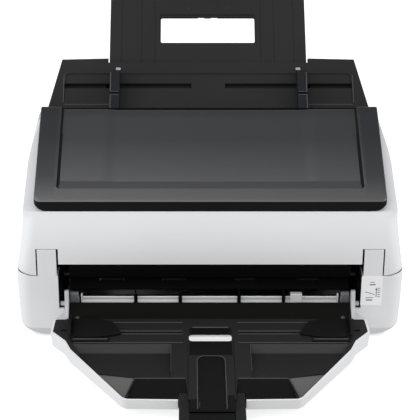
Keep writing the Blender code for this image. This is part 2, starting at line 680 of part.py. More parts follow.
def output_tray_liner(inner, hole):
    """Black liner in the tray: a flap that rises to the exit, two pockets, a tunnel for the extension."""
    outline = mirrored([(FLAP_HALF, FLAP_FRONT), (FLAP_HALF, FLAP_FRONT - 0.3), *inset(inner, 0.4)[1:]])
    liner = flat("output_tray_liner", [outline], -18.6, TRAY_TOP, "black_plastic", TRAY)
    rise = [
        (FLAP_FRONT - 2, TRAY_TOP), (FLAP_FRONT, TRAY_TOP), (FLAP_REAR, -1), (FLAP_REAR, -3.5),
        (FLAP_FRONT + 4, -12.2), (FLAP_FRONT - 2, -12.2),
    ]
    flap = flat("liner_flap", [rise[::-1]], -FLAP_HALF, FLAP_HALF, None, TRAY @ SIDE_VIEW)
    nose_low, nose_high = (-27, NOSE_END, TRAY_TOP - 2.4), (27, -160, TRAY_TOP)
    nose = block("liner_nose", nose_low, nose_high, None, TRAY)
    tunnel = block("extension_tunnel", (-34.6, -180, -30), (34.6, -83, EXTENSION_TOP + 0.4), None, TRAY)
    join(liner, flap)
    for side in (-1, 1):
        pocket = [(side * x, y) for x, y in POCKET][::-side]
        cut(liner, flat("tray_pocket", [pocket], -16.5, 5, None, TRAY))
    cut(liner, hole)
    join(liner, nose)
    cut(liner, tunnel)


def inset(outline, distance):
    """A half outline drawn in by a distance, with its ends kept square to the middle line."""
    drawn = []
    count = len(outline)
    for index, point in enumerate(outline):
        before = Vector(outline[max(index - 1, 0)])
        after = Vector(outline[min(index + 1, count - 1)])
        here = Vector(point)
        runs = [run.normalized() for run in (here - before, after - here) if run.length > 0]
        middle = sum(runs, Vector((0, 0))).normalized()
        across = Vector((middle.y, -middle.x)) * distance / middle.dot(runs[0])
        drawn.append(tuple(here + across * (1 if across.x < 0 or across.y > 0 else -1)))
    return drawn


def output_extensions():
    """Slides that lengthen the output tray, and the stopper at their end."""
    top = EXTENSION_TOP
    first = flat("output_extension", [rectangle(-34, 34, -250, -134)], -18.4, top, "black_plastic", TRAY)
    pocket = block("extension_pocket", (-23.4, -260, top - 2.4), (23.4, -138.6, 5), None, TRAY)
    cut(first, pocket)
    block("output_extension_end", (-22.8, -300, top - 2.1), (22.8, -186, top - 0.1), "black_plastic", TRAY)
    block("paper_stopper", (-20, -299, top + 0.3), (20, -272, top + 2.3), "black_plastic", TRAY)


def output_guides():
    """Side guides that slide across the output tray."""
    for side, sign in (("left", -1), ("right", 1)):
        half = [(154, -20), (154, -57), (130, -57), (94, -48), (108, -32), (140, -22)]
        outline = [(sign * x, y) for x, y in half][::sign]
        above = (TRAY_TOP + 0.4, TRAY_TOP + 3)
        guide = flat("output_guide_" + side, [outline], *above, "dark_grey_plastic", TRAY)
        low, high = sorted((sign * 151, sign * 154))
        join(guide, block("guide_fin", (low, -49, TRAY_TOP + 2), (high, -24, TRAY_TOP + 11), None, TRAY))


def icon_plate():
    """Plain label on the right tower, for generic icons."""
    block("icon_plate", (168.4, -0.7, 44.2), (191.4, -0.3, 79.0), "white_plastic")


def hang(name, place, names):
    """An empty on a joint's axis, which carries the pieces that move about it."""
    pivot = bpy.data.objects.new(name, None)
    pivot.location = Vector(place) * MM
    PARTS.objects.link(pivot)
    bpy.context.view_layer.update()
    for item in names:
        piece = bpy.data.objects[item]
        piece.parent = pivot
        piece.matrix_parent_inverse = pivot.matrix_world.inverted()
    return pivot


def path_place(x, length, offset):
    return (x, *side_point(length, offset))


def tray_place(x, y, z):
    return tuple(TRAY @ (Vector((x, y, z)) * MM) / MM)


def assemble():
    """Gathers the pieces of each moving body on its joint's axis, then sets the whole on its origin."""
    low = {name: roller_centre(length, ROLLER_RADIUS, False) for name, (length, _) in DRIVEN.items()}
    high = {name: roller_centre(length, radius, True) for name, (length, _, radius) in IDLE.items()}
    tray = hang("tray_axis", (0, *TRAY_AXIS), ["output_tray", "output_tray_liner"])
    cover = hang("cover_axis", (0, *COVER_AXIS), [
        "upper_cover", "top_panel", "upper_path_frame", "upper_scan_glass", "upper_scan_sensor",
        "hopper_wall", "exit_shield", "hinge_pin_left", "hinge_pin_right",
    ])
    on_cover = [hang(name + "_axis", (0, *place), [name + "_roller"]) for name, place in high.items()]
    on_cover.append(hang("latch_axis", (0, *LATCH_AXIS), ["latch_shaft", "release_lever"]))
    first = hang("output_extension_axis", tray_place(0, -192, EXTENSION_TOP), ["output_extension"])
    second = hang("output_extension_end_axis", tray_place(0, -243, EXTENSION_TOP), ["output_extension_end"])
    stopper = hang("stopper_axis", tray_place(0, -299, EXTENSION_TOP + 1.3), ["paper_stopper"])
    on_tray = [first] + [
        hang("output_guide_axis_" + side, tray_place(x, -38, TRAY_TOP), ["output_guide_" + side])
        for side, x in (("left", -130), ("right", 130))
    ]
    extension = hang("input_extension_axis", path_place(0, 96, -9.4), ["input_extension"])
    extension_end = hang("input_extension_end_axis", path_place(0, 173, -13.2), ["input_extension_end"])
    loose = [tray, cover, extension]
    loose += [
        hang("input_guide_axis_" + side, path_place(x, 31, 0), ["input_guide_" + side])
        for side, x in (("left", -111), ("right", 111))
    ]
    loose.append(hang("pinion_axis", path_place(0, 31, -5.5), ["guide_pinion"]))
    loose.append(hang("pick_axis", (0, *low["pick"]), ["pick_roller", "pick_shaft"]))
    loose += [
        hang(name + "_axis", (0, *low[name]), [name + "_roller", name + "_shaft", name + "_pulley"])
        for name in ("feed", "eject")
    ]
    loose.append(hang("motor_axis", (0, *MOTOR_AXIS), ["motor_pulley"]))
    loose += [hang(name + "_axis", (209.6, *place), [name]) for name, place, _ in BUTTONS]
    for parent, children in ((cover, on_cover), (tray, on_tray), (first, [second]), (second, [stopper]),
                             (extension, [extension_end])):
        for child in children:
            child.parent = parent
            child.matrix_parent_inverse = parent.matrix_world.inverted()
    origin = bpy.data.objects.new("scanner_origin", None)
    origin.location = (0, BENCH_SHIFT_Y * MM, 0)
    PARTS.objects.link(origin)
    for item in [*PARTS.objects, *CUTTERS.objects]:
        if item.parent is None and item is not origin:
            item.parent = origin


def build():
    lower_casing()
    side_buttons()
    base()
    rear_cover()
    electronics()
    side_frames()
    paper_path()
    feeder_walls()
    rollers()
    drive()
    exit_trim()
    upper_cover()
    hinge_pins()
    top_panel()
    latch()
    input_chute()
    input_guides()
    input_extension()
    output_tray()
    output_extensions()
    output_guides()
    icon_plate()
    assemble()


build()
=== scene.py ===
"""The looks of a desktop sheet-fed document scanner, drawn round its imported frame.

Pieces are drawn in millimetres in four frames of the object (BENCH, PATH, PANEL, TRAY) and end up in metres.
"""

import json
from math import cos, exp, hypot, radians, sin, sqrt

import bmesh
import bpy
from mathutils import Matrix, Vector


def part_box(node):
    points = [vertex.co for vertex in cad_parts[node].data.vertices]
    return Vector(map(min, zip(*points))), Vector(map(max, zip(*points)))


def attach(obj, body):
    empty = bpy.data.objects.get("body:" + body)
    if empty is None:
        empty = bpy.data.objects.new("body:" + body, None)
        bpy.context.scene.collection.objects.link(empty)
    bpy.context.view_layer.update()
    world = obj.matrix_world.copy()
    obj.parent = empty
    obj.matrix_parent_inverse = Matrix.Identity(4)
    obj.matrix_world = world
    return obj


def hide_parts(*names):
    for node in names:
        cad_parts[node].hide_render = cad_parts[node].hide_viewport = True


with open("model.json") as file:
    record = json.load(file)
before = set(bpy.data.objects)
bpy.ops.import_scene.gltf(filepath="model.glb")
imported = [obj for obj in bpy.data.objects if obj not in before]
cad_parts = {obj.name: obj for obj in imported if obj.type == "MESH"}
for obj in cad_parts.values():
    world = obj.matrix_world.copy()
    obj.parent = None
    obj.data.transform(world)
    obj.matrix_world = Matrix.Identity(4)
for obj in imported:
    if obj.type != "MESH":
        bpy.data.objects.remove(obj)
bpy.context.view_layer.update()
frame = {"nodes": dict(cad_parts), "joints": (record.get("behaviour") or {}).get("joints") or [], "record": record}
JOINTS = {joint["name"]: joint for joint in frame["joints"]}
SLOT_OF = {part["node"]: part["material_slot"] for part in frame["record"]["subparts"]}
MM = 0.001
SHARP = 32

# ---------------- frames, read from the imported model


def frame_at(origin, along):
    """A frame in millimetres at a point: Y along a direction in the side view, X the object's X."""
    y = Vector(along).normalized()
    x = Vector((1, 0, 0))
    z = x.cross(y)
    turn = Matrix((x, y, z)).transposed().to_4x4()
    return Matrix.Translation(origin) @ turn @ Matrix.Scale(MM, 4)


BENCH = Matrix.Translation((0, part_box("lower_casing")[0].y, 0)) @ Matrix.Scale(MM, 4)
TRAY = frame_at(JOINTS["output_tray_fold"]["pos_m"], -Vector(JOINTS["output_extension_slide"]["axis"]))
PINION_L, PINION_N = 31.0, -5.5
AT_PINION = frame_at(JOINTS["guide_pinion_spin"]["pos_m"], JOINTS["input_extension_slide"]["axis"])
PATH = AT_PINION @ Matrix.Translation((0, -PINION_L, -PINION_N))
PANEL_SLOPE, PANEL_THICK = 26.0, 12.5
PANEL_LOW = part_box("top_panel")[0]
PANEL_LINE = (0, cos(radians(PANEL_SLOPE)), sin(radians(PANEL_SLOPE)))
PANEL_FRONT = (0, PANEL_LOW.y, PANEL_LOW.z + PANEL_THICK * MM * PANEL_LINE[1])
PANEL = frame_at(PANEL_FRONT, PANEL_LINE)
UPRIGHT = Matrix.Rotation(radians(90), 4, "X")
SIDE_VIEW = Matrix.Rotation(radians(90), 4, "Z") @ UPRIGHT
SIDES = (-1, 1)

# ---------------- driving sizes, in millimetres

WALL = 3.0
WIDEST = 212.0
CORNER = 16.0
FOOT_LOW, FOOT_ROUND = 2.0, 14.0
LOBE_BOTTOM, LOBE_ROUND = 80.5, 5.5
# the body's half width at the lobes, and how it draws in above and below them
LOBE_HEIGHT, BODY_HALF = 80.0, 214.5
UPPER_TAPER, TAPER_REACH, TAPER_POWER = 10.8, 45.0, 1.3
SHOULDER, SHOULDER_SLOPE = 187.0, 0.4
LOWER_TAPER, TAPER_FOOT = 1.5, 20.0
# the cover's front leans back above this height
LEAN_HEIGHT, LEAN_SPAN, LEAN_BY = 98.0, 54.5, 12.6
SEAM_GAP = 0.9
OPENING_HALF, OPENING_TOP, OPENING_LOW = 168.0, 94.1, 39.0
SILL_HALF, SILL_LOW = 162.4, 26.0
COVER_AXIS = (6.0, 96.0)
TAB_IN, TAB_OUT, TAB_TOP = 169.3, 190.3, 16.3
PIN_HOLE = 3.3
BUTTON_HOLES = (("power_button", 7.6), ("scan_button", 9.6))
NOTCH_IN, NOTCH_OUT, NOTCH_TOP = 167.2, 191.9, 17.2
PANEL_HALF, PANEL_LENGTH = 193.0, 144.4
PANEL_CORNER, PANEL_EDGE, PANEL_BACK = 8.0, 1.8, 5.5
RECESS_HALF, RECESS_FRONT, RECESS_FLOOR, RECESS_CORNER = 169.3, 18.8, 33.4, 5.0
LIP = 11.7
CHUTE_TOP = 67.6
WINDOW_TOP = 129.2
SLOT_L = (28.0, 34.0)
RIM, TRAY_FLOOR = -9.0, -18.6
ARM_IN, ARM_OUT = 157.2, 161.6
HOLE_HALF, HOLE_FRONT, HOLE_REAR = 23.4, -62.0, -35.5
POCKET_FLOOR = -17.0
POCKET_REAR = ((42.6, -67.3), (149, -67.3))
POCKET_FRONT = ((123.3, -120.3), (79.0, -130.6), (42.6, -130.4))
RAMP = ((27.3, -131.2, -9.2), (79.2, -131.2, -9.2), (90, -168, -13.4), (24, -168, -13.4))
FACET = ((80.7, -130.8, -9.2), (123.3, -120.3, -11.2), (92.4, -165.6, -13.4), (90, -166.4, -13.4))
# x, y of both ends and the radius of the liner's fine ridges
LINER_BEADS = (
    (30, -25.4, 108, -25.4, 0.45), (30, -42.6, 104, -42.6, 0.55), (30, -48.2, 150, -48.2, 0.45),
    (30, -64.6, 148, -64.6, 0.4), (27.3, -130.8, 80, -130.9, 0.6), (42.7, -68, 42.7, -118, 0.3),
)
TRAY_OUTLINE = (
    (155.5, -8), (173, -19), (174.7, -44), (159, -62.5),
    (152.6, -78.5), (93.8, -165), (88, -168.5), (35, -169.5),
)

# ---------------- materials


class Nodes:
    """A short way to write a node tree."""

    def __init__(self, tree):
        self.tree = tree

    def feed(self, node, inputs):
        """Sets a node's inputs, each from a value or from another node's output."""
        for key, value in inputs.items():
            if isinstance(value, bpy.types.NodeSocket):
                self.tree.links.new(value, node.inputs[key])
            else:
                node.inputs[key].default_value = value
        return node

    def add(self, kind, inputs=None, **settings):
        node = self.tree.nodes.new(kind)
        for key, value in settings.items():
            setattr(node, key, value)
        return self.feed(node, inputs or {})

    def noise(self, where, scale, detail):
        inputs = {"Vector": where, "Scale": scale, "Detail": detail}
        return self.add("ShaderNodeTexNoise", inputs).outputs["Fac"]

    def ramp(self, value, low, high, start, end, curve="LINEAR"):
        """Maps low..high to start..end."""
        inputs = {"Value": value, "From Min": low, "From Max": high, "To Min": start, "To Max": end}
        return self.add("ShaderNodeMapRange", inputs, interpolation_type=curve).outputs["Result"]

    def spread(self, noise, low, high):
        """Maps a noise value's middle range to low..high."""
        return self.ramp(noise, 0.3, 0.7, low, high)

    def math(self, operation, *values):
        return self.add("ShaderNodeMath", dict(enumerate(values)), operation=operation).outputs[0]

    def blend(self, factor, first, second):
        return self.add("ShaderNodeMix", {0: factor, 6: first, 7: second}, data_type="RGBA").outputs[2]

    def bump(self, strength, depth, height):
        inputs = {"Strength": strength, "Distance": depth * MM, "Height": height}
        return self.add("ShaderNodeBump", inputs).outputs["Normal"]


def begun(name):
    """A new material, its node tree, its shader and the object's coordinates."""
    made = bpy.data.materials.new(name)
    made.use_nodes = True
    nodes = Nodes(made.node_tree)
    where = nodes.add("ShaderNodeTexCoord").outputs["Object"]
    return made, nodes, shader_of(made), where


def shader_of(made):
    return made.node_tree.nodes["Principled BSDF"]


def plastic(name, colour, roughness, grain, grain_size, shade, specular=0.5):
    """Moulded plastic: spark-eroded grain, faint colour drift and uneven gloss."""
    made, nodes, shader, where = begun(name)
    fine = nodes.noise(where, 1 / (grain_size * MM), 3.0)
    drift = nodes.noise(where, 9.0, 2.0)
    smudge = nodes.noise(where, 55.0, 4.0)
    dark = tuple(value * (1 - shade) for value in colour)
    light = tuple(min(1, value * (1 + shade)) for value in colour)
    tint = nodes.blend(nodes.spread(drift, 0, 1), (*dark, 1), (*light, 1))
    nodes.feed(shader, {
        "Base Color": nodes.blend(nodes.spread(fine, 0, 0.5 * shade), tint, (*dark, 1)),
        "Roughness": nodes.spread(smudge, roughness - 0.04, roughness + 0.04),
        "Normal": nodes.bump(grain, 0.06, fine),
        "Specular IOR Level": specular,
    })
    return made


def painted_panel_reflection(made, strongest, weakest):
    """Painted reflection: the panel's specular level set by place, strongest at the front edge, weaker to the
    back, the right and along both sides.
    """
    nodes = Nodes(made.node_tree)
    where = nodes.add("ShaderNodeSeparateXYZ", {"Vector": nodes.add("ShaderNodeTexCoord").outputs["Object"]})
    x, y = where.outputs["X"], where.outputs["Y"]
    front, back, half = PANEL_FRONT[1], PANEL_FRONT[1] + 88 * MM, PANEL_HALF * MM
    side = nodes.ramp(nodes.math("ABSOLUTE", x), 169 * MM, 173 * MM, 0, 1)
    behind = nodes.ramp(y, front + 6 * MM, front + 34 * MM, 0, 1)
    bezel = nodes.ramp(nodes.math("MULTIPLY", side, behind), 0, 1, 1, 0.5)
    gloss = nodes.math("MULTIPLY", nodes.ramp(y, front, back, strongest, weakest), bezel)
    gloss = nodes.math("MULTIPLY", gloss, nodes.ramp(x, -half, half, 1.1, 0.9))
    nodes.feed(shader_of(made), {"Specular IOR Level": gloss})


def steel():
    """Bright steel with fine lines along X."""
    made, nodes, shader, where = begun("steel")
    lines = nodes.add("ShaderNodeMapping", {"Vector": where, "Scale": (20, 900, 900)}).outputs["Vector"]
    streak = nodes.noise(lines, 1.0, 3.0)
    nodes.feed(shader, {
        "Base Color": nodes.blend(nodes.spread(streak, 0, 1), (0.46, 0.46, 0.47, 1), (0.62, 0.62, 0.63, 1)),
        "Roughness": nodes.spread(streak, 0.24, 0.38),
        "Normal": nodes.bump(0.25, 0.03, streak),
        "Metallic": 1.0,
    })
    return made


def board():
    """Green solder mask with its copper tracks."""
    made, nodes, shader, where = begun("board_green")
    cells = nodes.add("ShaderNodeTexVoronoi", {"Vector": where, "Scale": 190.0}, distance="MANHATTAN")
    tracks = nodes.ramp(cells.outputs["Distance"], 0.42, 0.5, 0, 1)
    tone = nodes.blend(tracks, (0.008, 0.09, 0.035, 1), (0.03, 0.2, 0.07, 1))
    nodes.feed(shader, {"Base Color": tone, "Roughness": 0.35})
    return made


# colour, roughness, strength and size (mm) of the grain, colour drift, specular level if it isn't 0.5
PLASTICS = {
    "white_plastic": ((0.80, 0.805, 0.825), 0.42, 0.25, 0.5, 0.012),
    "tray_white": ((0.80, 0.805, 0.82), 0.4, 0.2, 0.5, 0.012),
    "panel_black": ((0.0215, 0.0225, 0.0262), 0.2, 0.04, 0.4, 0.05),
    # painted shade for the panel's lip, outer sides and recess walls
    "panel_lip": ((0.011, 0.011, 0.0115), 0.55, 0.2, 0.4, 0.05, 0.05),
    "black_plastic": ((0.0185, 0.0178, 0.018), 0.55, 0.5, 0.5, 0.1, 0.12),
    "chute_black": ((0.0245, 0.0245, 0.0255), 0.5, 0.5, 0.5, 0.1, 0.08),
    "smooth_black": ((0.0075, 0.0075, 0.0073), 0.45, 0.1, 0.5, 0.06, 0.06),
    # the black of the inner parts, also painted shade on shells' inner faces, hinge pins and inner frames
    "inner_black": ((0.0042, 0.0042, 0.004), 0.75, 0.4, 0.5, 0.1, 0.03),
    "dark_grey_plastic": ((0.022, 0.023, 0.026), 0.4, 0.3, 0.5, 0.08, 0.45),
    "grey_plastic": ((0.52, 0.52, 0.53), 0.45, 0.3, 0.5, 0.02),
    # lighter copy of the bar grey: painted light
    "bar_painted_light": ((0.93, 0.93, 0.95), 0.45, 0.3, 0.5, 0.02),
    # painted shadow of the towers on the tray's arms
    "tray_painted_shadow": ((0.55, 0.555, 0.57), 0.4, 0.2, 0.5, 0.012),
    "light_grey": ((0.68, 0.68, 0.69), 0.45, 0.3, 0.5, 0.02),
    "tab_grey": ((0.4, 0.4, 0.4), 0.5, 0.2, 0.5, 0.02),
    "label_white": ((0.95, 0.95, 0.96), 0.5, 0.05, 0.5, 0.01),
    "smoke_grey": ((0.17, 0.17, 0.18), 0.4, 0.1, 0.5, 0.05),
    "guide_grey": ((0.018, 0.0188, 0.0225), 0.45, 0.3, 0.5, 0.08, 0.06),
    "guide_black": ((0.008, 0.008, 0.008), 0.45, 0.3, 0.5, 0.06, 0.1),
    "flap_black": ((0.0068, 0.0066, 0.0062), 0.5, 0.3, 0.5, 0.06, 0.08),
    # painted shade, painted highlight and painted light on the liner's facets
    "ramp_painted_shade": ((0.009, 0.009, 0.009), 0.4, 0.1, 0.5, 0.06, 0.03),
    "pocket_wall_painted_light": ((0.033, 0.033, 0.035), 0.5, 0.3, 0.5, 0.08, 0.3),
    "facet_painted_highlight": ((0.115, 0.108, 0.105), 0.4, 0.3, 0.5, 0.06, 0.3),
    "lip_blue": ((0.07, 0.075, 0.085), 0.4, 0.2, 0.5, 0.06),
    # the knobs' grey, also painted highlight on thin edges, ridges and lines
    "edge_black": ((0.06, 0.061, 0.064), 0.35, 0.1, 0.5, 0.05),
    "rail_black": ((0.017, 0.017, 0.0172), 0.5, 0.5, 0.5, 0.1, 0.1),
    "ink": ((0.09, 0.09, 0.1), 0.5, 0.1, 0.5, 0.05),
    "rubber": ((0.028, 0.028, 0.03), 0.8, 0.6, 0.6, 0.12, 0.3),
    "glass": ((0.03, 0.04, 0.042), 0.08, 0.02, 2.0, 0.1, 0.7),
}
FINISHES = {name: plastic(name, *values) for name, values in PLASTICS.items()}
FINISHES.update(steel=steel(), board_green=board())
# painted reflection on the panel's black, through its specular level
painted_panel_reflection(FINISHES["panel_black"], 1.5, 0.5)
shader_of(FINISHES["glass"]).inputs["Coat Weight"].default_value = 0.6

# ---------------- drawing tools


def extruded(outlines, low, high, turn=Matrix.Identity(4)):
    """Closed outlines made solid between two heights; outlines after the first are holes."""
    shape = bmesh.new()
    edges = []
    for outline in outlines:
        corners = [shape.verts.new((x, y, low)) for x, y in outline]
        edges += [shape.edges.new(pair) for pair in zip(corners, corners[1:] + corners[:1])]
    if len(outlines) == 1:
        shape.faces.new(corners)
    else:
        bmesh.ops.triangle_fill(shape, edges=edges, use_beauty=True)
    made = bmesh.ops.extrude_face_region(shape, geom=shape.faces[:])["geom"]
    raised = [item for item in made if isinstance(item, bmesh.types.BMVert)]
    bmesh.ops.translate(shape, verts=raised, vec=(0, 0, high - low))
    bmesh.ops.recalc_face_normals(shape, faces=shape.faces)
    bmesh.ops.transform(shape, matrix=turn, verts=shape.verts)
    return shape


def profile(outline, low, high):
    """A side-view outline (y, z) made solid along X."""
    return extruded([outline], low, high, SIDE_VIEW)


def box(low, high):
    low, high = Vector(low), Vector(high)
    shape = bmesh.new()
    size = Matrix.Diagonal((*(high - low), 1))
    bmesh.ops.create_cube(shape, size=1, matrix=Matrix.Translation((low + high) / 2) @ size)
    return shape


def hull(points):
    """The convex solid round some points."""
    shape = bmesh.new()
    verts = [shape.verts.new(point) for point in points]
    made = bmesh.ops.convex_hull(shape, input=verts)
    inside = [item for item in made["geom_interior"] if isinstance(item, bmesh.types.BMVert)]
    bmesh.ops.delete(shape, geom=inside, context="VERTS")
    bmesh.ops.dissolve_limit(shape, angle_limit=radians(0.5), verts=shape.verts, edges=shape.edges)
    bmesh.ops.recalc_face_normals(shape, faces=shape.faces)
    return shape


def rod(start, end, radius, sides=32, end_radius=None):
    """A cylinder or cone between two points."""
    start, end = Vector(start), Vector(end)
    turn = (end - start).to_track_quat("Z", "Y").to_matrix().to_4x4()
    shape = bmesh.new()
    bmesh.ops.create_cone(
        shape, cap_ends=True, segments=sides, radius1=radius,
        radius2=radius if end_radius is None else end_radius, depth=(end - start).length,
        matrix=Matrix.Translation((start + end) / 2) @ turn,
    )
    return shape


def take_mesh(shape, mesh):
    """Moves a mesh into a bmesh."""
    shape.from_mesh(mesh)
    bpy.data.meshes.remove(mesh)


def merged(*shapes):
    """Several solids as one mesh."""
    whole = bmesh.new()
    for shape in shapes:
        take_mesh(whole, mesh_of(shape))
    return whole


def round_edges(shape, wanted, width, segments):
    """Rounds the edges for which wanted(edge) is true."""
    edges = [edge for edge in shape.edges if len(edge.link_faces) == 2 and wanted(edge)]
    bmesh.ops.bevel(shape, geom=edges, offset=width, segments=segments, profile=0.5, affect="EDGES")
    return shape


def placed(name, data):
    """A new object in the scene."""
    made = bpy.data.objects.new(name, data)
    bpy.context.scene.collection.objects.link(made)
    return made


def mesh_of(shape):
    mesh = bpy.data.meshes.new("drawn")
    shape.to_mesh(mesh)
    shape.free()
    return mesh


def carved(shape, cuts=(), adds=()):
    """A solid with others joined to it, then others cut from it."""
    helpers = []

    def helper(solid):
        made = placed("helper", mesh_of(solid))
        helpers.append(made)
        return made

    base = helper(shape)
    for operation, tools in (("UNION", adds), ("DIFFERENCE", cuts)):
        for tool in tools:
            step = base.modifiers.new("step", "BOOLEAN")
            step.operation = operation
            step.object = helper(tool)
    graph = bpy.context.evaluated_depsgraph_get()
    mesh = bpy.data.meshes.new_from_object(base.evaluated_get(graph))
    result = bmesh.new()
    take_mesh(result, mesh)
    for item in helpers:
        bpy.data.objects.remove(item, do_unlink=True)
    bmesh.ops.remove_doubles(result, verts=result.verts, dist=0.0005)
    return result


def rectangle(x0, x1, y0, y1, radius=0.0, steps=4):
    """A rectangle, its corners rounded when it has a radius."""
    if not radius:
        return [(x0, y0), (x1, y0), (x1, y1), (x0, y1)]
    outline = []
    for x, y, start in ((x1, y0, -90), (x1, y1, 0), (x0, y1, 90), (x0, y0, 180)):
        cx = x - radius if x == x1 else x + radius
        cy = y - radius if y == y1 else y + radius
        for step in range(steps + 1):
            turn = radians(start + 90 * step / steps)
            outline.append((cx + radius * cos(turn), cy + radius * sin(turn)))
    return outline


def mirrored(half):
    return list(half) + [(-x, y) for x, y in reversed(half)]


def on_side(side, first, second):
    """Two distances from the object's middle as the lower and the higher x on one side."""
    return sorted((side * first, side * second))


def side_box(side, xs, ys, zs):
    """A box on one side, its xs measured from the middle."""
    low, high = on_side(side, *xs)
    return box((low, ys[0], zs[0]), (high, ys[1], zs[1]))


def side_plate(side, xs, ys, zs, radius=0.0):
    """The same with rounded corners as seen from above."""
    return extruded([rectangle(*on_side(side, *xs), *ys, radius)], *zs)


def side_profile(side, outline, *xs):
    """A side-view outline made solid between two distances from the middle."""
    return profile(outline, *on_side(side, *xs))


def bench_box(name):
    """A CAD node's lowest and highest corners in the bench frame."""
    return [BENCH.inverted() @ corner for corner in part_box(name)]


def rounded(outline, radius, steps=4):
    """An outline with its corners cut to smooth curves, at most radius from each corner."""
    smooth = []
    count = len(outline)
    for index, corner in enumerate(outline):
        corner = Vector(corner)
        before = Vector(outline[index - 1]) - corner
        after = Vector(outline[(index + 1) % count]) - corner
        reach = min(radius, before.length * 0.45, after.length * 0.45)
        start, end = corner + before.normalized() * reach, corner + after.normalized() * reach
        for step in range(steps + 1):
            t = step / steps
            smooth.append(tuple(start * (1 - t) ** 2 + corner * 2 * t * (1 - t) + end * t * t))
    return smooth


def bevel(made, width, segments, angle):
    """Rounds an object's edges that are sharper than an angle."""
    soft = made.modifiers.new("soft_edges", "BEVEL")
    soft.width = width * MM
    soft.segments = segments
    soft.limit_method = "ANGLE"
    soft.angle_limit = radians(angle)
    soft.harden_normals = True


def piece(name, shape, where, body, finish, instead_of=None, edge=0.5, segments=2):
    """Puts a solid drawn in millimetres in its place, on its body, with soft edges and its finish."""
    bmesh.ops.dissolve_limit(shape, angle_limit=radians(0.3), verts=shape.verts, edges=shape.edges)
    mesh = mesh_of(shape)
    mesh.name = name
    mesh.transform(where)
    for item in [finish] if isinstance(finish, str) else finish:
        mesh.materials.append(FINISHES[item])
    made = placed(name, mesh)
    mesh.shade_smooth()
    if edge:
        bevel(made, edge, segments, SHARP)
    else:
        mesh.set_sharp_from_angle(angle=radians(SHARP))
    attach(made, body)
    if instead_of:
        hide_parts(instead_of)
    return made


def paint(made, index, wanted):
    """Gives a piece's faces its material of that index where wanted(centre, normal) is true, in metres."""
    for face in made.data.polygons:
        if wanted(face.center, face.normal):
            face.material_index = index
    return made


# ---------------- the white shells


def half_width(z):
    """Half the body's width at a height: widest at the lobes, drawn in above, rounded at the foot."""
    if z > LOBE_HEIGHT:
        drawn_in = UPPER_TAPER * (1 - exp(-((z - LOBE_HEIGHT) / TAPER_REACH) ** TAPER_POWER))
        return BODY_HALF - drawn_in - SHOULDER_SLOPE * max(0, z - SHOULDER)
    below = min(FOOT_ROUND, max(0, FOOT_LOW + FOOT_ROUND - z))
    drawn_in = LOWER_TAPER * ((LOBE_HEIGHT - max(z, TAPER_FOOT)) / (LOBE_HEIGHT - TAPER_FOOT)) ** 2
    return BODY_HALF - drawn_in - FOOT_ROUND + sqrt(FOOT_ROUND ** 2 - below ** 2)


def lobe_width(z):
    """The same for the cover, whose lobes have round lower corners."""
    below = max(0, LOBE_BOTTOM + LOBE_ROUND - z)
    if below >= LOBE_ROUND:
        return half_width(z) - LOBE_ROUND
    return half_width(z) - (LOBE_ROUND - sqrt(LOBE_ROUND ** 2 - below ** 2))


def is_front_corner(edge):
    normals = [face.normal for face in edge.link_faces]
    turned = max(abs(n.x) for n in normals) > 0.9 and min(n.y for n in normals) < -0.5
    return turned and edge.verts[0].co.y < 21


def flared(outline, corner, width, wall=0.0):
    """A side-view outline made solid over the body's width less a wall, with round front corners."""
    shape = profile(outline, -WIDEST, WIDEST)
    if corner:
        round_edges(shape, is_front_corner, corner, 8)
    levels = [LOBE_BOTTOM + step for step in (0.4, 1.2, 2.4, 4.6, 8)]
    levels += [FOOT_LOW + step for step in (0.5, 1.5, 3, 5, 8, 11.5)]
    levels += range(20, 230, 9)
    for level in sorted(levels):
        geometry = shape.verts[:] + shape.edges[:] + shape.faces[:]
        bmesh.ops.bisect_plane(shape, geom=geometry, plane_co=(0, 0, level), plane_no=(0, 0, 1), dist=1e-4)
    for vert in shape.verts:
        side = 1 if vert.co.x > 0 else -1
        vert.co.x = side * (width(vert.co.z) - wall - (WIDEST - abs(vert.co.x)))
    return shape


def front_curve(low, high, wall=0.0):
    """The cover's front, which leans back towards the panel, or its inner side behind a wall."""
    heights = [low + (high - low) * step / 12 for step in range(13)]
    return [(wall + LEAN_BY * max(0, (z - LEAN_HEIGHT) / LEAN_SPAN) ** 2, z) for z in heights]


def path_point(length, offset):
    """Where a point of the paper path lies in the side view of the bench frame."""
    place = BENCH.inverted() @ PATH @ Vector((0, length, offset))
    return place.y, place.z


def panel_point(y, z):
    place = BENCH.inverted() @ PANEL @ Vector((0, y, z))
    return place.y, place.z


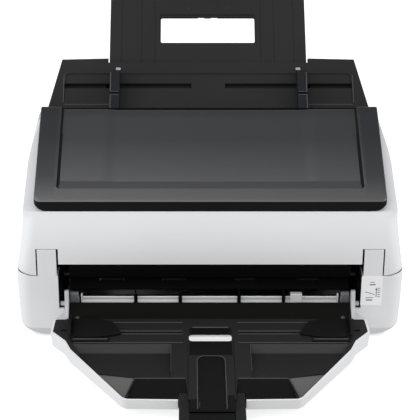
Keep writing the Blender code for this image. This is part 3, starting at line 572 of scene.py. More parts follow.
def casing():
    """Lower casing: two towers with hinge tabs beside the exit, a chamfered foot and button holes."""
    top = [(0, 90), (17, 90), (140, 199), (147, 193.4), (165, 196), (200, 188)]
    body = flared([(9, FOOT_LOW), (0, 14), *top, (200, FOOT_LOW)], CORNER, half_width)
    seam = LOBE_BOTTOM - SEAM_GAP
    under_cover = [(-SEAM_GAP, seam), (22.6, seam), (148, 193.6), (148, 240), (-SEAM_GAP, 240)]
    seat = flared(under_cover, CORNER, lambda z: lobe_width(z) + SEAM_GAP)
    inside = [(20.5, -8), (WALL, 15.2), (WALL, 76), (22, 76), (22, 260), (260, 260), (260, -8)]
    hollow = flared(inside, CORNER - WALL, half_width, WALL)
    opening = box((-OPENING_HALF, -20, OPENING_LOW), (OPENING_HALF, 30, 120))
    sill = box((-SILL_HALF, -20, SILL_LOW), (SILL_HALF, 30, 60))
    holes, tabs = [], []
    axis_y, axis_z = COVER_AXIS
    turns = [radians(111.6 - 15 * step) for step in range(7)]
    crown = [(axis_y + TAB_TOP * cos(turn), axis_z + TAB_TOP * sin(turn)) for turn in turns]
    for side in SIDES:
        low, high = on_side(side, TAB_IN, TAB_OUT)
        tabs.append(profile([(0, 70), *crown, (axis_y + 8, 70)], low, high))
        holes.append(rod((low - 5, *COVER_AXIS), (high + 5, *COVER_AXIS), PIN_HOLE))
    for name, radius in BUTTON_HOLES:
        low, high = bench_box(name)
        y, z = (low.y + high.y) / 2, (low.z + high.z) / 2
        holes.append(rod((190, y, z), (230, y, z), radius))
        holes.append(rod((213.6, y, z), (216, y, z), radius, end_radius=radius + 3))
    # tabs join after the opening is cut, so that they stand free above it
    shell = carved(carved(body, [seat, hollow, opening, sill]), holes, tabs)
    made = piece("casing_shell", shell, BENCH, "root", ["white_plastic", "inner_black"],
                 "lower_casing")
    # painted shade: the shell's inner faces get the near-black finish
    paint(made, 1, is_inside)


def is_inside(centre, normal):
    """True for a face of a shell's inner side, which is painted near black as shade."""
    depth = half_width(centre.z / MM) * MM - abs(centre.x)
    turned = normal.x * centre.x < 0 and abs(normal.x) > 0.3 or normal.y > 0.3 or normal.z < -0.95
    return depth > 2.5 * MM and centre.y > BENCH.translation.y + 2.4 * MM and turned


def cover():
    """Feeder cover shell: smooth flared hood with lobes outside the hinge tabs."""
    top_front = panel_point(1.0, -PANEL_THICK - 0.9)
    top_rear = panel_point(PANEL_LENGTH, -PANEL_THICK - 0.3)
    seam_end = path_point(-30, 14.5)
    outline = [*front_curve(LOBE_BOTTOM, 152.2), top_front, top_rear, seam_end, (23, LOBE_BOTTOM)]
    body = flared(outline, CORNER, lobe_width)
    inner_front = panel_point(6.0, -PANEL_THICK - WALL - 0.9)
    inner_rear = panel_point(PANEL_LENGTH - 4, -PANEL_THICK - WALL)
    inner_seam = (seam_end[0] - WALL, seam_end[1] - 1)
    inside = [*front_curve(60, 148, WALL), inner_front, inner_rear, inner_seam]
    inside += [(150, 150), (60, 40), (WALL, 40)]
    hollow = flared(inside, CORNER - WALL, lobe_width, WALL)
    opening = box((-OPENING_HALF, -20, 60), (OPENING_HALF, 40, OPENING_TOP))
    above_chute = box((-164, 116, 150), (164, 160, 211))
    at_lever = box((185, 102, 172), (215, 130, 189))
    cuts = [hollow, opening, above_chute, at_lever]
    for side in SIDES:
        low, high = on_side(side, NOTCH_IN, NOTCH_OUT)
        cuts.append(rod((low, *COVER_AXIS), (high, *COVER_AXIS), NOTCH_TOP, 64))
        cuts.append(box((low, -20, 60), (high, COVER_AXIS[0] + NOTCH_TOP, 97)))
    shell = carved(body, cuts)
    made = piece("cover_shell", shell, BENCH, "adf_cover", ["white_plastic", "inner_black"],
                 "upper_cover", 0.6, 3)
    # painted shade: the shell's inner faces get the near-black finish
    paint(made, 1, is_inside)


def rear_shell():
    """Back cover with its vents, socket cut-outs and screw bosses."""
    outline = [(200.4, 6), (200.4, 196), (205, 194.5), (228, 176), (228, 6)]
    body = flared(outline, 0, half_width)
    round_edges(body, lambda edge: min(v.co.y for v in edge.verts) > 220 and
                max(abs(f.normal.x) for f in edge.link_faces) > 0.8, 6, 4)
    cuts = [flared([(190, 20), (190, 191), (204, 191), (224, 173), (224, 20)], 0, half_width, WALL)]
    for group in SIDES:
        for index in range(14):
            x = group * 120 + (index - 6.5) * 7
            cuts.append(extruded([rectangle(x - 1.6, x + 1.6, 92, 138, 1.5)], -240, -215, UPRIGHT))
    for node in ("power_inlet", "usb_socket"):
        low, high = bench_box(node)
        for gap, depth in ((0.5, 220), (3, 227.2)):
            cuts.append(box((low.x - gap, depth, low.z - gap), (high.x + gap, 235, high.z + gap)))
    heads = []
    for x, z in [(side * 185, z) for side in SIDES for z in (30, 150)]:
        cuts.append(rod((x, 226.4, z), (x, 235, z), 5.2))
        cross = [box((x - w, 227.0, z - h), (x + w, 229, z + h)) for w, h in ((2.2, 0.4), (0.4, 2.2))]
        heads.append(carved(rod((x, 226.5, z), (x, 227.7, z), 3.9, 32, 3.0), cross))
    shell = carved(body, cuts)
    piece("rear_shell", shell, BENCH, "root", "white_plastic", "rear_cover", 0.5)
    piece("rear_screws", merged(*heads), BENCH, "root", "steel", edge=0.15)


def label():
    """Plate on the right tower with plain pictograms of sheets: no text."""
    low, high = bench_box("icon_plate")
    plate = extruded([rectangle(low.x - 0.8, high.x - 0.4, low.z - 1, high.z, 1.0)], 0.05, 0.65, UPRIGHT)
    piece("label_plate", plate, BENCH, "root", "label_white", "icon_plate", 0.12)
    cx = (low.x + high.x) / 2
    strokes = ((0, 72, 5, 0.7), (0, 68.6, 6.5, 1.3), (-3, 52.6, 8.5, 0.7), (-3, 49.4, 7.0, 1.3))
    marks = [rectangle(cx + x - w / 2, cx + x + w / 2, z, z + h) for x, z, w, h in strokes]
    sheet = ((-8, 60.5), (-2, 59), (3, 57.2), (3, 56.6), (-2, 58.3), (-8, 59.9))
    marks.append([(cx + x, z) for x, z in sheet])
    marks += [rectangle(cx + 6, cx + 8.6, z, z + 0.8) for z in (54 + 2.6 * step for step in range(5))]
    arrow = ((4.2, 54), (5, 54), (5, 63), (6, 63), (4.6, 65.4), (3.2, 63), (4.2, 63))
    marks.append([(cx + x, z) for x, z in arrow])
    drawn = [extruded([mark], 0.6, 0.72, UPRIGHT) for mark in marks]
    piece("label_marks", merged(*drawn), BENCH, "root", "ink", edge=0)


# ---------------- the black panel on the cover


def smoothstep(low, high, value):
    t = min(1, max(0, (value - low) / (high - low)))
    return t * t * (3 - 2 * t)


def panel_height(x, y):
    """The panel's top: a recess that gets shallower to the back, its floor lower in the middle."""
    across = abs(x)
    if across > PANEL_HALF - PANEL_CORNER and y < PANEL_CORNER:
        inside = PANEL_CORNER - hypot(across - (PANEL_HALF - PANEL_CORNER), PANEL_CORNER - y)
    else:
        inside = min(PANEL_HALF - across, y)
    edge = PANEL_EDGE - max(0, min(PANEL_EDGE, inside))
    height = sqrt(PANEL_EDGE ** 2 - edge ** 2) - PANEL_EDGE
    back = PANEL_BACK - max(0, min(PANEL_BACK, PANEL_LENGTH - y))
    height += sqrt(PANEL_BACK ** 2 - back ** 2) - PANEL_BACK
    side, front = RECESS_HALF - across, y - RECESS_FRONT
    wall = min(side, front)
    if side < RECESS_CORNER and front < RECESS_CORNER:
        wall = RECESS_CORNER - hypot(RECESS_CORNER - side, RECESS_CORNER - front)
    ramp = min(1, max(0, (y - RECESS_FRONT) / (RECESS_FLOOR - RECESS_FRONT)))
    back = max(0, (y - RECESS_FLOOR) / (PANEL_LENGTH - RECESS_FLOOR))
    floor = 2.9 + 1.9 * ramp - 1.0 * back
    floor += 1.1 * (1 - smoothstep(104, 121, across)) * min(1, ramp + 0.2)
    return height - min(max(0, wall) * 1.45, floor)


def join_rings(shape, upper, lower):
    for index in range(len(upper)):
        after = (index + 1) % len(upper)
        shape.faces.new((upper[index], lower[index], lower[after], upper[after]))


def panel():
    """The panel as one closed skin over rows and columns that crowd where it bends."""
    rim = (0, 0.12, 0.45, 1.0, 1.8)
    bow = [PANEL_BACK * (1 - cos(radians(step * 15))) for step in range(7)]
    rows = [*rim, 3.2, 5, 6.6, 8, 11, 15, *(RECESS_FRONT + step * 0.7 for step in range(-1, 9)), 27, 30]
    rows += [RECESS_FLOOR - 0.5, RECESS_FLOOR, RECESS_FLOOR + 0.5, 36, 40, 46, 54, 64, 76, 90, 104, 118, 128]
    rows += [PANEL_LENGTH - value for value in reversed(bow)]
    half = [0, 20, 40, 60, 80, 95, *range(101, 125, 2), 132, 145, 156]
    half += [RECESS_HALF - 7.4 + step * 0.6 for step in range(14)]
    half += [172, 176, 180, 184, 185.6, 187.2, 188.8]
    half += [PANEL_HALF - value for value in reversed(rim)]
    columns = [-x for x in reversed(half[1:])] + half
    shape = bmesh.new()
    grid = []
    for y in rows:
        near = max(0, PANEL_CORNER - y)
        pull = PANEL_CORNER - sqrt(PANEL_CORNER ** 2 - near ** 2)
        line = []
        for x in columns:
            over = max(0, abs(x) - 176) / (PANEL_HALF - 176)
            x -= pull * over * (1 if x > 0 else -1)
            line.append(shape.verts.new((x, y, panel_height(x, y))))
        grid.append(line)
    for near, far in zip(grid, grid[1:]):
        for index in range(len(columns) - 1):
            shape.faces.new((near[index], near[index + 1], far[index + 1], far[index]))
    ring = grid[0] + [row[-1] for row in grid[1:]] + grid[-1][-2::-1] + [row[0] for row in grid[-2:0:-1]]
    top = [vert.co.copy() for vert in ring]
    lean = PANEL_LINE[2] / PANEL_LINE[1]
    for share, draw_in in ((0.45, 0), (0.72, 0), (0.87, 0.5), (0.96, 1.4), (1, 2.6)):
        lower = []
        for co in top:
            front = max(0, 1 - co.y / 70)
            depth = LIP * front + PANEL_THICK * (1 - front)
            corner = smoothstep(PANEL_HALF - 12, PANEL_HALF, abs(co.x)) * front
            deep = -depth * share * (1 - 0.16 * corner)
            y = co.y + (deep - co.z) * lean * front + 0.5 * draw_in * front
            lower.append(shape.verts.new((co.x * (1 - draw_in * (1 + 1.6 * corner) / PANEL_HALF), y, deep)))
        join_rings(shape, ring, lower)
        ring = lower
    shape.faces.new(ring[::-1])
    bmesh.ops.remove_doubles(shape, verts=shape.verts, dist=0.001)
    bmesh.ops.recalc_face_normals(shape, faces=shape.faces)
    mesh = mesh_of(shape)
    mesh.transform(PANEL)
    mesh.shade_smooth()
    mesh.set_sharp_from_angle(angle=radians(30))
    for item in ("panel_black", "panel_lip"):
        mesh.materials.append(FINISHES[item])
    made = placed("panel_skin", mesh)
    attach(made, "adf_cover")
    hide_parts("top_panel")
    up = (PANEL.to_3x3() @ Vector((0, 0, 1))).normalized()
    # painted shade: the lip and the panel's outer sides, turned from the light above, get the darker lip finish
    paint(made, 1, lambda c, n: n.dot(up) < 0.45 and abs(c.x) > 170 * MM or n.dot(up) < 0.55 and n.y < -0.6)
    # painted shadow on the recess's side walls
    paint(made, 1, lambda c, n: abs(n.x) > 0.5 and 160 * MM < abs(c.x) < 170 * MM)
    # a dark strip under the lip stands in for the shadow gap there
    strip = extruded([rounded(mirrored([(174, 20), (175.5, -4.6)]), 2)], -LIP - 0.7, -LIP + 0.2)
    piece("panel_lip_strip", strip, PANEL, "adf_cover", "panel_lip", edge=0.25)


# ---------------- input chute


def chute():
    """Paper support with the guides' slots in a sunk field, thin side rails and a stepped top edge."""
    half = [(163, -58), (163, -30), (187.5, -30), (190, 0), (174.8, CHUTE_TOP - 1.4)]
    half += [(119.4, CHUTE_TOP), (119.4, CHUTE_TOP - 5.6)]
    plate = extruded([mirrored(half)], -4, 0)
    cuts = [extruded([rounded(mirrored([(172, 6.3), (169, 47)]), 3)], -0.9, 3)]
    cuts += [side_plate(side, (20, 171), SLOT_L, (-9, 3), 1) for side in SIDES]
    cuts += [side_plate(side, (20, 171.6), (27.2, 34.8), (-1.4, 3)) for side in SIDES]
    shell = carved(plate, cuts)
    piece("chute_plate", shell, PATH, "root", "chute_black", "input_chute", 0.45)
    tabs, ribs = [], []
    for side in SIDES:
        tabs.append(side_plate(side, (104.6, 110.2), (51.2, 54.4), (0.05, 1.6), 0.6))
        ribs.append(side_box(side, (171.6, 172.4), (8, 45), (-0.5, 0.4)))
        ribs.append(side_box(side, (112, 171), (5.2, 6.0), (-0.5, 0.5)))
        ribs.append(side_box(side, (114, 116.5), (29, 33), (-3.6, 0.4)))
    piece("chute_stops", merged(*tabs), PATH, "root", "tab_grey", edge=0.3)
    # the long strips along the rail edge and the field's front edge are painted highlight lines
    piece("chute_ribs", merged(*ribs), PATH, "root", "edge_black", edge=0.2)


def guides():
    """Side guides: a hollow wall with a groove where its upper part folds, on a foot with its rack under the
    chute.
    """
    stem_ends = (SLOT_L[0] + 0.5, SLOT_L[1] - 0.5)
    side_view = rounded([(-36, 1), (49, 1), (49, 5), (40, 20), (-36, 20)], 1.2)
    for name, side in (("input_guide_left", -1), ("input_guide_right", 1)):
        foot = side_plate(side, (105, 117), (-36, 49), (0.4, 2.4), 1.2)
        wall = side_profile(side, side_view, 104.8, 115.6)
        stem = side_box(side, (107, 115), stem_ends, (-5, 1))
        rack_ends = sorted(PINION_L + side * (9 + reach) for reach in (0.3, 4.6))
        cross_ends = (min(rack_ends[0], stem_ends[0]), max(rack_ends[1], stem_ends[1]))
        cross = side_box(side, (107, 115), cross_ends, (-6.6, -4.4))
        rack = side_box(side, (-59, 109), rack_ends, (-6.5, -4.5))
        joint = side_profile(side, [(9, 21), (9, 17.4), (12, 17.4), (12, 21)], 100, 120)
        hollows = [side_box(side, (107.4, 120), ys, (3.4, 17.6)) for ys in ((-34, 6), (15, 37))]
        shell = carved(foot, [joint, *hollows], [wall, stem, cross, rack])
        piece(name + "_wall", shell, PATH, name, "guide_grey", name, 0.5, 3)
        # thin lighter strips on the top edges and at the groove: painted edge highlights
        lines = [side_box(side, (114.8, 115.8), ys, (19.6, 20.25)) for ys in ((-34, 8.4), (12.6, 38.4))]
        lines += [side_box(side, (105.6, 115.2), ys, (19.8, 20.25)) for ys in ((8.2, 8.9), (12.1, 12.8))]
        piece(name + "_edges", merged(*lines), PATH, name, "edge_black", edge=0.2)


def extension():
    """First stage of the paper support, with shallow ribs and a finger window with stepped edges."""
    window = rectangle(-57, 57, 94, WINDOW_TOP, 2)
    plate = extruded([rectangle(-118.5, 118.5, 20, 172, 3), window], -11.4, -7.4)
    cuts = [box((x - 0.5, 66, -7.8), (x + 0.5, 168, -6)) for x in (-104, -80, -64, 64, 80, 104)]
    cuts.append(extruded([rectangle(-58.4, 58.4, 92.6, WINDOW_TOP + 3.4, 3)], -8.6, -6))
    cuts += [side_box(side, (4, 12), (WINDOW_TOP - 1, WINDOW_TOP + 0.8), (-12, -6)) for side in SIDES]
    made = piece("extension_plate", carved(plate, cuts), PATH, "input_extension",
                 ["chute_black", "inner_black"], "input_extension", 0.4)
    to_path = PATH.inverted()
    # painted shadow: the faces of the window's upper step get the near-black finish
    paint(made, 1, lambda c, n: WINDOW_TOP + 5 > (to_path @ c).y > WINDOW_TOP - 1.2 and (to_path @ c).z < -8)
    dots = [rod((x, 141.5, -7.5), (x, 141.5, -6.9), 1.1, 16, 0.8) for x in (-23, 23)]
    piece("extension_pins", merged(*dots), PATH, "input_extension", "dark_grey_plastic",
          edge=0.15)


# ---------------- exit


def exit_parts():
    """Grey bar in lengths between black ribs, smoky end blocks, small lugs and the grey sensor flag."""
    low, high = bench_box("exit_bar")
    top = high.z - 0.8
    outline = [(low.y, low.z), (low.y, top - 4.4), (low.y + 0.5, top - 4), (low.y + 0.5, top - 0.8),
               (low.y + 1.1, top), (high.y - 1, top), (high.y - 1, low.z)]
    ribs = (-83, -33, 33, 83)
    stops = [-142.5, *ribs, 142.5]
    bars = [profile(outline, left + 1.9 * (left in ribs), right - 1.9 * (right in ribs))
            for left, right in zip(stops, stops[1:])]
    made = piece("exit_bars", merged(*bars), BENCH, "root", ["grey_plastic", "bar_painted_light"],
                 "exit_bar", 0.25)
    step = (BENCH @ Vector((0, 0, top - 4.2))).z
    # painted light: the lower band and the upward-facing tops get a lighter copy of the bars' grey
    paint(made, 1, lambda centre, normal: centre.z < step or normal.z > 0.3 and centre.z > step + 3 * MM)
    lug = rounded([(12, 36), (12, 49), (13.5, 50.5), (16.5, 50.5), (16.5, 36)], 1)
    lugs = [side_profile(side, lug, 142.6, 144.3) for side in SIDES]
    lugs.append(profile(rounded([(10.4, 38), (10.4, 51.4), (16.6, 51.4), (16.6, 38)], 1), 90.3, 103.3))
    piece("exit_flag", merged(*lugs), BENCH, "root", "light_grey", edge=0.4)
    tall = rounded([(12.5, 36), (12.5, 49.6), (14.5, 52), (17, 52), (17, 36)], 1.2)
    short = rounded([(11.6, 36), (11.6, 46), (13, 47.6), (17, 47.6), (17, 36)], 0.8)
    blocks = []
    for side in SIDES:
        blocks += [side_profile(side, tall, 147, 156.6), side_profile(side, short, 146.2, 148.6)]
    piece("exit_end_blocks", merged(*blocks), BENCH, "root", "smoke_grey", edge=0.5)
    base = extruded([rectangle(-152, 152, 34, 46)], -20, -17.4, UPRIGHT)
    fin = [(11, 37), (11, 56), (12.2, 58), (13.6, 58), (13.6, 52), (19, 52), (19, 47.3), (13.6, 47.3)]
    fin.append((13.6, 37))
    fins = []
    for x in ribs:
        fins.append(profile(fin, x - 0.8, x + 0.8))
        fins.append(profile([(12.6, 35), (12.6, 48), (17.8, 48), (17.8, 35)], x - 1.9, x + 1.9))
    shell = carved(base, (), fins)
    piece("exit_fins", shell, BENCH, "root", "inner_black", "exit_ribs", 0.3)


# ---------------- output tray


def inset(outline, distance):
    """A half outline drawn in by a distance."""
    drawn = []
    count = len(outline)
    for index, point in enumerate(outline):
        here = Vector(point)
        runs = [here - Vector(outline[index - 1])] if index else []
        runs += [Vector(outline[index + 1]) - here] if index < count - 1 else []
        runs = [run.normalized() for run in runs]
        middle = sum(runs, Vector((0, 0))).normalized()
        across = Vector((middle.y, -middle.x)) * distance / middle.dot(runs[0])
        drawn.append(tuple(here + across * (1 if across.x < 0 or across.y > 0 else -1)))
    return drawn


def tray_shell():
    """White tray: a rim with sloping outer walls, deeper at the back, side arms with pins and gussets."""
    wall = bmesh.new()
    upper = [wall.verts.new((x, y, RIM)) for x, y in mirrored(TRAY_OUTLINE)]
    lower = [wall.verts.new((x, y, -21 - 6.5 * smoothstep(-160, -40, y)))
             for x, y in mirrored(inset(TRAY_OUTLINE, 1.2))]
    wall.faces.new(upper)
    wall.faces.new(lower[::-1])
    join_rings(wall, upper, lower)
    bmesh.ops.recalc_face_normals(wall, faces=wall.faces)
    hollow = extruded([mirrored(inset(TRAY_OUTLINE, 2.2))], -19, 5)
    under = [(150, -14), (166, -24), (168, -42), (148, -72), (90, -158), (40, -162)]
    under = hull([(side * x, y, z) for side in SIDES for x, y in under for z in (-40, -21)])
    hole = box((-HOLE_HALF, HOLE_FRONT, -40), (HOLE_HALF, HOLE_REAR, 20))
    gate = box((-35, -190, -19), (35, -160, 5))
    back = box((-157, -14, -50), (157, 12, 5))
    step = box((-157, -19, -12.6), (157, 12, 5))
    arm = [(-12, -14), (5, -5), (6.5, 9), (4, 16), (-1.5, 16.4), (-4.5, 7), (-9, -1), (-19, -9)]
    adds = []
    for side in SIDES:
        adds.append(side_profile(side, rounded(arm, 2.5), ARM_IN, ARM_OUT))
        adds.append(side_box(side, (ARM_IN, ARM_OUT), (-15.8, -8.5), (-20, RIM)))
        adds.append(rod((side * 160, 0, 0), (side * 166.4, 0, 0), 2.7, 32))
        gusset = [(side * 159, -4, RIM + 2.2), (side * 159, -19, RIM), (side * 173, -19, RIM)]
        adds.append(hull([(x, y, z - drop) for x, y, z in gusset for drop in (0, 3)]))
    shell = carved(carved(wall, [hollow, under, hole, gate, back, step]), (), adds)
    made = piece("tray_shell", shell, TRAY, "output_tray", ["tray_white", "tray_painted_shadow"],
                 "output_tray", 0.6, 3)
    to_tray = TRAY.inverted()

    def on_arm(centre, normal):
        x, y, z = to_tray @ centre
        return abs(x) < 175 and y > -18.9 and z > RIM - 1

    # painted shadow: the arms, in the towers' shadow, get a darker copy of the tray white
    paint(made, 1, on_arm)


def bead(x0, y0, x1, y1, radius):
    """A low half-round ridge on the liner between two points."""
    return rod((x0, y0, RIM), (x1, y1, RIM), radius, 12)


def tray_liner():
    """Black liner: a flap up to the exit, guide rails, two sunk pockets, ramps in front, the finger hole."""
    outline = mirrored([(156.6, -19), (171.4, -19.6), *inset(TRAY_OUTLINE, 2.3)[2:]])
    slab = extruded([outline], TRAY_FLOOR, RIM)
    rise = [(-21, RIM), (-18, RIM), (-8, -6.4), (2.5, -1.3), (4, -1.6), (4, -3.5)]
    flap = profile([*rise, (-14, -12.2), (-21, -12.2)], -156.6, 156.6)
    nose = [(-184.4, -11.8), (-184.4, -10.0), (-183.4, RIM), (-160, RIM), (-160, -11.8)]
    nose = profile(nose, -23.2, 23.2)
    under = box((-34.6, -180, -30), (34.6, -83, -11.6))
    hole = extruded([rectangle(-HOLE_HALF, HOLE_HALF, HOLE_FRONT, HOLE_REAR, 4, 5)], -40, 20)
    column = [(-22.6, HOLE_FRONT - 1.2), (22.6, HOLE_FRONT - 1.2), (23.2, -88.3), (-23.2, -88.3)]
    cuts = [under, hole, extruded([column], RIM - 0.5, 5)]
    lift = 12.0
    for side in SIDES:
        points = []
        for x, y in POCKET_REAR:
            points += [(side * x, y + lift * 0.76, RIM + lift), (side * x, y - 6.5, POCKET_FLOOR)]
        for x, y in POCKET_FRONT:
            points += [(side * x, y, RIM + lift), (side * x, y, RIM - 0.4)]
        cuts.append(hull(points))
        cuts += [hull([(side * x, y, z + up) for x, y, z in corners for up in (0, lift)])
                 for corners in (RAMP, FACET)]
        cuts.append(side_plate(side, (29.9, 150), (-47.4, -43.4), (RIM - 1.4, 5), 0.8))
        cuts.append(side_plate(side, (157, 164), (-43.0, -39.6), (RIM - 4.0, 5), 1))
        cuts.append(side_box(side, (24.2, 25.0), (-163, -62), (RIM - 0.6, 5)))
    cuts.append(extruded([rectangle(-14.6, 14.6, -200, -90.6, 8, 6)], RIM - 0.9, 5))
    shell = carved(carved(slab, cuts, [flap]), (), [nose])
    made = piece("tray_liner", shell, TRAY, "output_tray",
                 ["black_plastic", "ramp_painted_shade", "facet_painted_highlight", "pocket_wall_painted_light", "smooth_black", "flap_black"],
                 "output_tray_liner", 0.5, 2)
    to_tray = TRAY.inverted()

    # painted light and shade by facet: the front ramps darker, the corner facets lighter as a painted highlight,
    # the pocket walls facing the front a lighter copy of the liner black
    def zone(centre, normal):
        x, y, z = to_tray @ centre
        n = (to_tray.to_3x3() @ normal).normalized()
        if y > -41 and abs(x) < 156.8:
            return 5
        if y < -130.5 and 26 < abs(x) < 95 and n.z > 0.5:
            return 1 if abs(x) < 79.6 - (y + 131) * 0.26 else 2
        if y < -119 and abs(x) > 79 and n.z > 0.5 and n.y < -0.05:
            return 2
        if y > -76 and n.y < -0.4 and 42 < abs(x) < 152 and z < RIM - 1:
            return 3
        return 4 if abs(x) < 23.5 and HOLE_FRONT > y > -184 else 0

    for face in made.data.polygons:
        face.material_index = zone(face.center, face.normal)
    beads = []
    for side in SIDES:
        for x0, y0, x1, y1, radius in LINER_BEADS:
            beads.append(bead(side * x0, y0, side * x1, y1, radius))
        beads.append(side_box(side, (12.4, 13.4), (-182, -172), (RIM - 1.0, RIM)))
    strip = bead(-20, HOLE_REAR + 0.4, 20, HOLE_REAR + 0.4, 0.6)
    arch = extruded([rectangle(-15.4, 15.4, -230, -89.6, 8.6, 8)], RIM - 0.3, RIM + 0.35)
    inside = extruded([rectangle(-14.5, 14.5, -230, -90.5, 7.8, 8)], -20, 5)
    rim = carved(arch, [inside, box((-20, -240, -20), (20, -183, 5))])
    beads += [strip, rim]
    # the beads and the arch rim get a lighter grey than the liner: painted highlight on raised edges
    piece("liner_beads", merged(*beads), TRAY, "output_tray", "edge_black", edge=0.15)
    # painted highlight: thin lighter strips along the bevel between each facet and ramp
    ends = [(80.4, -131.2, RIM - 0.3), (82.6, -131.0, RIM - 0.3),
            (91.0, -164.2, -12.9), (88.4, -164.8, -12.9)]
    edges = [hull([(side * x, y, z + up) for x, y, z in ends for up in (-1.0, 0.25)]) for side in SIDES]
    piece("liner_ridges", merged(*edges), TRAY, "output_tray", "lip_blue", edge=0.2)


def output_guides():
    """Low side guides of the output tray: a swept plate with a fin, a knob, a screw and a lower slide."""
    half = [(154, -19), (154, -54.5), (147.5, -54.5), (144.5, -57.6), (128, -57.4), (113.5, -55.4)]
    half += [(98.5, -51), (97, -49.4), (102, -40), (108.2, -27), (121, -22.6), (134, -20.4)]
    fin_side = [(-56, RIM + 1), (-22, RIM + 1), (-22, -1.5), (-26, 1.4), (-44, 1.4), (-54, -4)]
    rib_side = [(-52, RIM + 1), (-24, RIM + 1), (-24, RIM + 4), (-52, RIM + 4)]
    for name, side in (("output_guide_left", -1), ("output_guide_right", 1)):
        outline = [(side * x, y) for x, y in half][::side]
        plate = extruded([rounded(outline, 1.8, 3)], RIM + 1.0, RIM + 2.6)
        fin = side_profile(side, rounded(fin_side, 2), 152.2, 154)
        rib = side_profile(side, rib_side, 149.2, 150)
        low, high = on_side(side, 110, 152)
        slide = extruded([rounded(rectangle(low, high, -63.8, -57), 1)], RIM + 0.35, RIM + 1.3)
        x, y = side * 150.4, -56.6
        boss = rod((x, y, RIM + 0.4), (x, y, RIM + 2.2), 3.0, 24)
        shell = carved(plate, [rod((x, y, -7.4), (x, y, 5), 1.6, 20)], [fin, rib, slide, boss])
        piece(name + "_plate", shell, TRAY, name, "guide_black", name, 0.4, 2)
        knob = rod((side * 147, -19.5, RIM + 2.4), (side * 147, -19.5, RIM + 3.8), 2.4, 24, 1.7)
        # the thin strip along the slide is a painted highlight line
        mark = side_box(side, (112, 150), (-60.6, -58.6), (RIM + 1.2, RIM + 1.5))
        piece(name + "_knob", merged(knob, mark), TRAY, name, "edge_black", edge=0.2)


def extensions():
    """Extension of the output tray with side rails and its sunk track."""
    top = -12.0
    plate = extruded([rectangle(-34, 34, -250, -134, 2)], -18.4, top)
    cuts = [box((-23.4, -260, top - 2.4), (23.4, -138.6, 5))]
    for side in SIDES:
        cuts += [side_box(side, (26.4, 28.9), (y, y + 1.2), (top - 0.3, 5)) for y in range(-244, -190, 6)]
    shell = carved(plate, cuts)
    made = piece("output_extension_rails", shell, TRAY, "output_extension", ["rail_black", "smooth_black"],
                 "output_extension", 0.6, 2)
    to_tray = TRAY.inverted()
    paint(made, 1, lambda c, n: (to_tray @ c).z < top - 1 and abs(c.x) < 23.3 * MM)


# ---------------- CAD pieces and small additions


def soften(name, width, finish):
    """A CAD node with its faces joined, its edges rounded and its material set."""
    node = frame["nodes"][name]
    node.data.materials.clear()
    node.data.materials.append(FINISHES[finish or SLOT_OF[name]])
    weld = node.modifiers.new("weld", "WELD")
    weld.merge_threshold = 0.00001
    flat = node.modifiers.new("flat_faces", "DECIMATE")
    flat.decimate_type = "DISSOLVE"
    flat.angle_limit = radians(0.6)
    bevel(node, width, 2, 35)


def feet_and_base():
    """Tread rings under the feet and screws in the base plate."""
    for name in ("foot_front_left", "foot_front_right", "foot_rear_left", "foot_rear_right"):
        low, high = bench_box(name)
        x, y = (low.x + high.x) / 2, (low.y + high.y) / 2
        foot = rod((x, y, 0), (x, y, 6.4), 10, 40, 11)
        ring = carved(rod((x, y, -1), (x, y, 0.8), 7.4, 40), [rod((x, y, -2), (x, y, 2), 4.6, 40)])
        piece(name + "_pad", carved(foot, [ring]), BENCH, "root", "rubber", name, 0.5)
    places = [(x, y) for x in (-150, -50, 50, 150) for y in (24, 187)]
    heads = [rod((x, y, 5.9), (x, y, 6.9), 3.2, 24, 3.6) for x, y in places]
    piece("base_screws", merged(*heads), BENCH, "root", "steel", edge=0.2)


def board_parts():
    """Chips, capacitors and connectors on the main board."""
    face = bench_box("main_board")[0].y
    # x, z, width, height, thickness of each chip; x, z of each capacitor
    chips = ((10, 90, 24, 24, 2), (48, 70, 16, 16, 1.6), (80, 100, 12, 20, 1.4), (110, 60, 18, 10, 1.4),
             (30, 45, 10, 14, 1.2))
    boxes = [box((x, face - t, z), (x + w, face + 0.02, z + h)) for x, z, w, h, t in chips]
    piece("board_chips", merged(*boxes), BENCH, "root", "inner_black", edge=0.3)
    places = ((70, 120), (82, 126), (130, 110), (138, 96))
    cans = [rod((x, face - 9, z), (x, face + 0.02, z), 3.5, 24) for x, z in places]
    piece("board_capacitors", merged(*cans), BENCH, "root", "steel", edge=0.4)


def buttons():
    """Side buttons with dished faces and a light ring."""
    for name in ("power_button", "scan_button"):
        low, high = bench_box(name)
        y, z, radius = (low.y + high.y) / 2, (low.z + high.z) / 2, (high.z - low.z) / 2
        stem = rod((low.x, y, z), (high.x, y, z), radius, 48)
        dish = rod((high.x - 0.5, y, z), (high.x + 1, y, z), radius * 0.5, 48, radius * 0.85)
        shell = carved(stem, [dish])
        piece(name + "_cap", shell, BENCH, name, "dark_grey_plastic", name, 0.5, 3)
        ring = carved(rod((high.x - 0.5, y, z), (high.x - 0.25, y, z), radius * 0.4, 32),
                      [rod((high.x - 1, y, z), (high.x + 1, y, z), radius * 0.28, 32)])
        piece(name + "_mark", ring, BENCH, name, "light_grey", edge=0.05)


def lever():
    """Release lever with grip ribs."""
    low, high = bench_box("release_lever")
    cuts = [box((high.x - 0.7, y, low.z - 1), (high.x + 1, y + 1.1, high.z + 1))
            for y in (low.y + 2.5 + 2.6 * step for step in range(5))]
    piece("release_lever_grip", carved(box(low, high), cuts), BENCH, "release_latch", "black_plastic",
          "release_lever", 0.4)


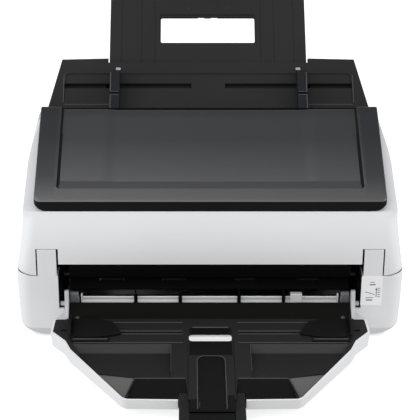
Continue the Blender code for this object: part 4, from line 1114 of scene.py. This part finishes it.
def finish_the_rest():
    """Every CAD node that is still shown gets soft edges and a finish."""
    edges = {"lower_scan_glass": 0.15, "upper_scan_glass": 0.15, "drive_belt": 0.25, "paper_stopper": 0.4}
    # painted shade: the hinge pins and the inner frames get the near-black finish
    inner = ("hinge_pin_left", "hinge_pin_right", "lower_path_frame", "upper_path_frame", "exit_shield",
             "side_frame_left", "side_frame_right", "hopper_wall")
    finishes = {
        **dict.fromkeys(inner, "inner_black"), "eject_shaft": "dark_grey_plastic",
        "output_extension": "black_plastic", "output_extension_end": "smooth_black",
        "input_extension_end": "chute_black",
    }
    for name, node in frame["nodes"].items():
        if not node.hide_render:
            soften(name, edges.get(name, 0.35), finishes.get(name))


# ---------------- studio


def camera():
    data = bpy.data.cameras.new("camera")
    data.lens = 124.3
    data.sensor_width = 36
    data.shift_x = 0.061
    data.clip_end = 20
    made = placed("camera", data)
    made.location = BENCH @ Vector((-28.4, -1420.5, 822.6))
    made.rotation_euler = (radians(65), 0, 0)
    bpy.context.scene.camera = made


# brightness of the studio: from above, at the horizon, from below, and added at the sides
OVERHEAD, AROUND, BELOW, SIDEWAYS = 0.72, 0.42, 0.48, 0.68


def studio_world():
    """Soft light from all round: a wide overhead sheet that ends behind the object, bright sides."""
    world = bpy.data.worlds.new("studio")
    bpy.context.scene.world = world
    world.use_nodes = True
    nodes = Nodes(world.node_tree)
    direction = nodes.add("ShaderNodeTexCoord").outputs["Generated"]
    parts = nodes.add("ShaderNodeSeparateXYZ", {"Vector": direction}).outputs
    x, y, z = parts["X"], parts["Y"], parts["Z"]
    ahead = nodes.ramp(y, 0.18, 0.32, 1, 0, "SMOOTHSTEP")
    overhead = nodes.math("MULTIPLY", ahead, nodes.ramp(z, 0.1, 0.75, 0, OVERHEAD, "SMOOTHSTEP"))
    overhead = nodes.math("MULTIPLY", overhead, nodes.ramp(x, -0.12, 0.3, 1, 0.45, "SMOOTHSTEP"))
    around = nodes.ramp(z, -0.1, 0.1, BELOW, AROUND, "SMOOTHSTEP")
    side = nodes.math("MULTIPLY", nodes.math("MULTIPLY", x, x), SIDEWAYS)
    strength = nodes.math("ADD", nodes.math("ADD", overhead, around), side)
    nodes.feed(world.node_tree.nodes["Background"], {"Color": (1, 1, 1, 1), "Strength": strength})


def softbox(name, place, size, power, aim):
    data = bpy.data.lights.new(name, "AREA")
    data.shape = "RECTANGLE"
    data.size, data.size_y = size
    data.energy = power
    made = placed(name, data)
    made.location = place
    made.rotation_euler = (Vector(aim) - Vector(place)).to_track_quat("-Z", "Y").to_euler()


def backdrop():
    """White paper lit from behind, so that nothing casts a shadow on it."""
    made = bpy.data.materials.new("backdrop")
    made.use_nodes = True
    Nodes(made.node_tree).feed(shader_of(made), {
        "Base Color": (0.8, 0.8, 0.8, 1), "Emission Color": (1, 1, 1, 1), "Emission Strength": 0.5,
    })
    return made


def studio():
    """White floor seen only by the camera, so that it doesn't light the undersides, and three softboxes."""
    shape = bmesh.new()
    bmesh.ops.create_grid(shape, x_segments=1, y_segments=1, size=6)
    floor = placed("floor", mesh_of(shape))
    floor.data.materials.append(backdrop())
    floor.visible_glossy = False
    floor.visible_diffuse = False
    studio_world()
    softbox("front", (-0.3, -1.9, 1.3), (1.6, 0.8), 2.6, (0, 0, 0.15))
    softbox("left", (-1.6, -0.6, 0.7), (0.9, 1.0), 5, (0, 0, 0.1))
    softbox("right", (1.6, -0.4, 0.7), (0.9, 1.0), 4.4, (0, 0, 0.1))
    bpy.context.scene.view_settings.view_transform = "Standard"


camera()
studio()
casing()
cover()
rear_shell()
panel()
label()
chute()
guides()
extension()
exit_parts()
tray_shell()
tray_liner()
output_guides()
extensions()
feet_and_base()
board_parts()
buttons()
lever()
finish_the_rest()
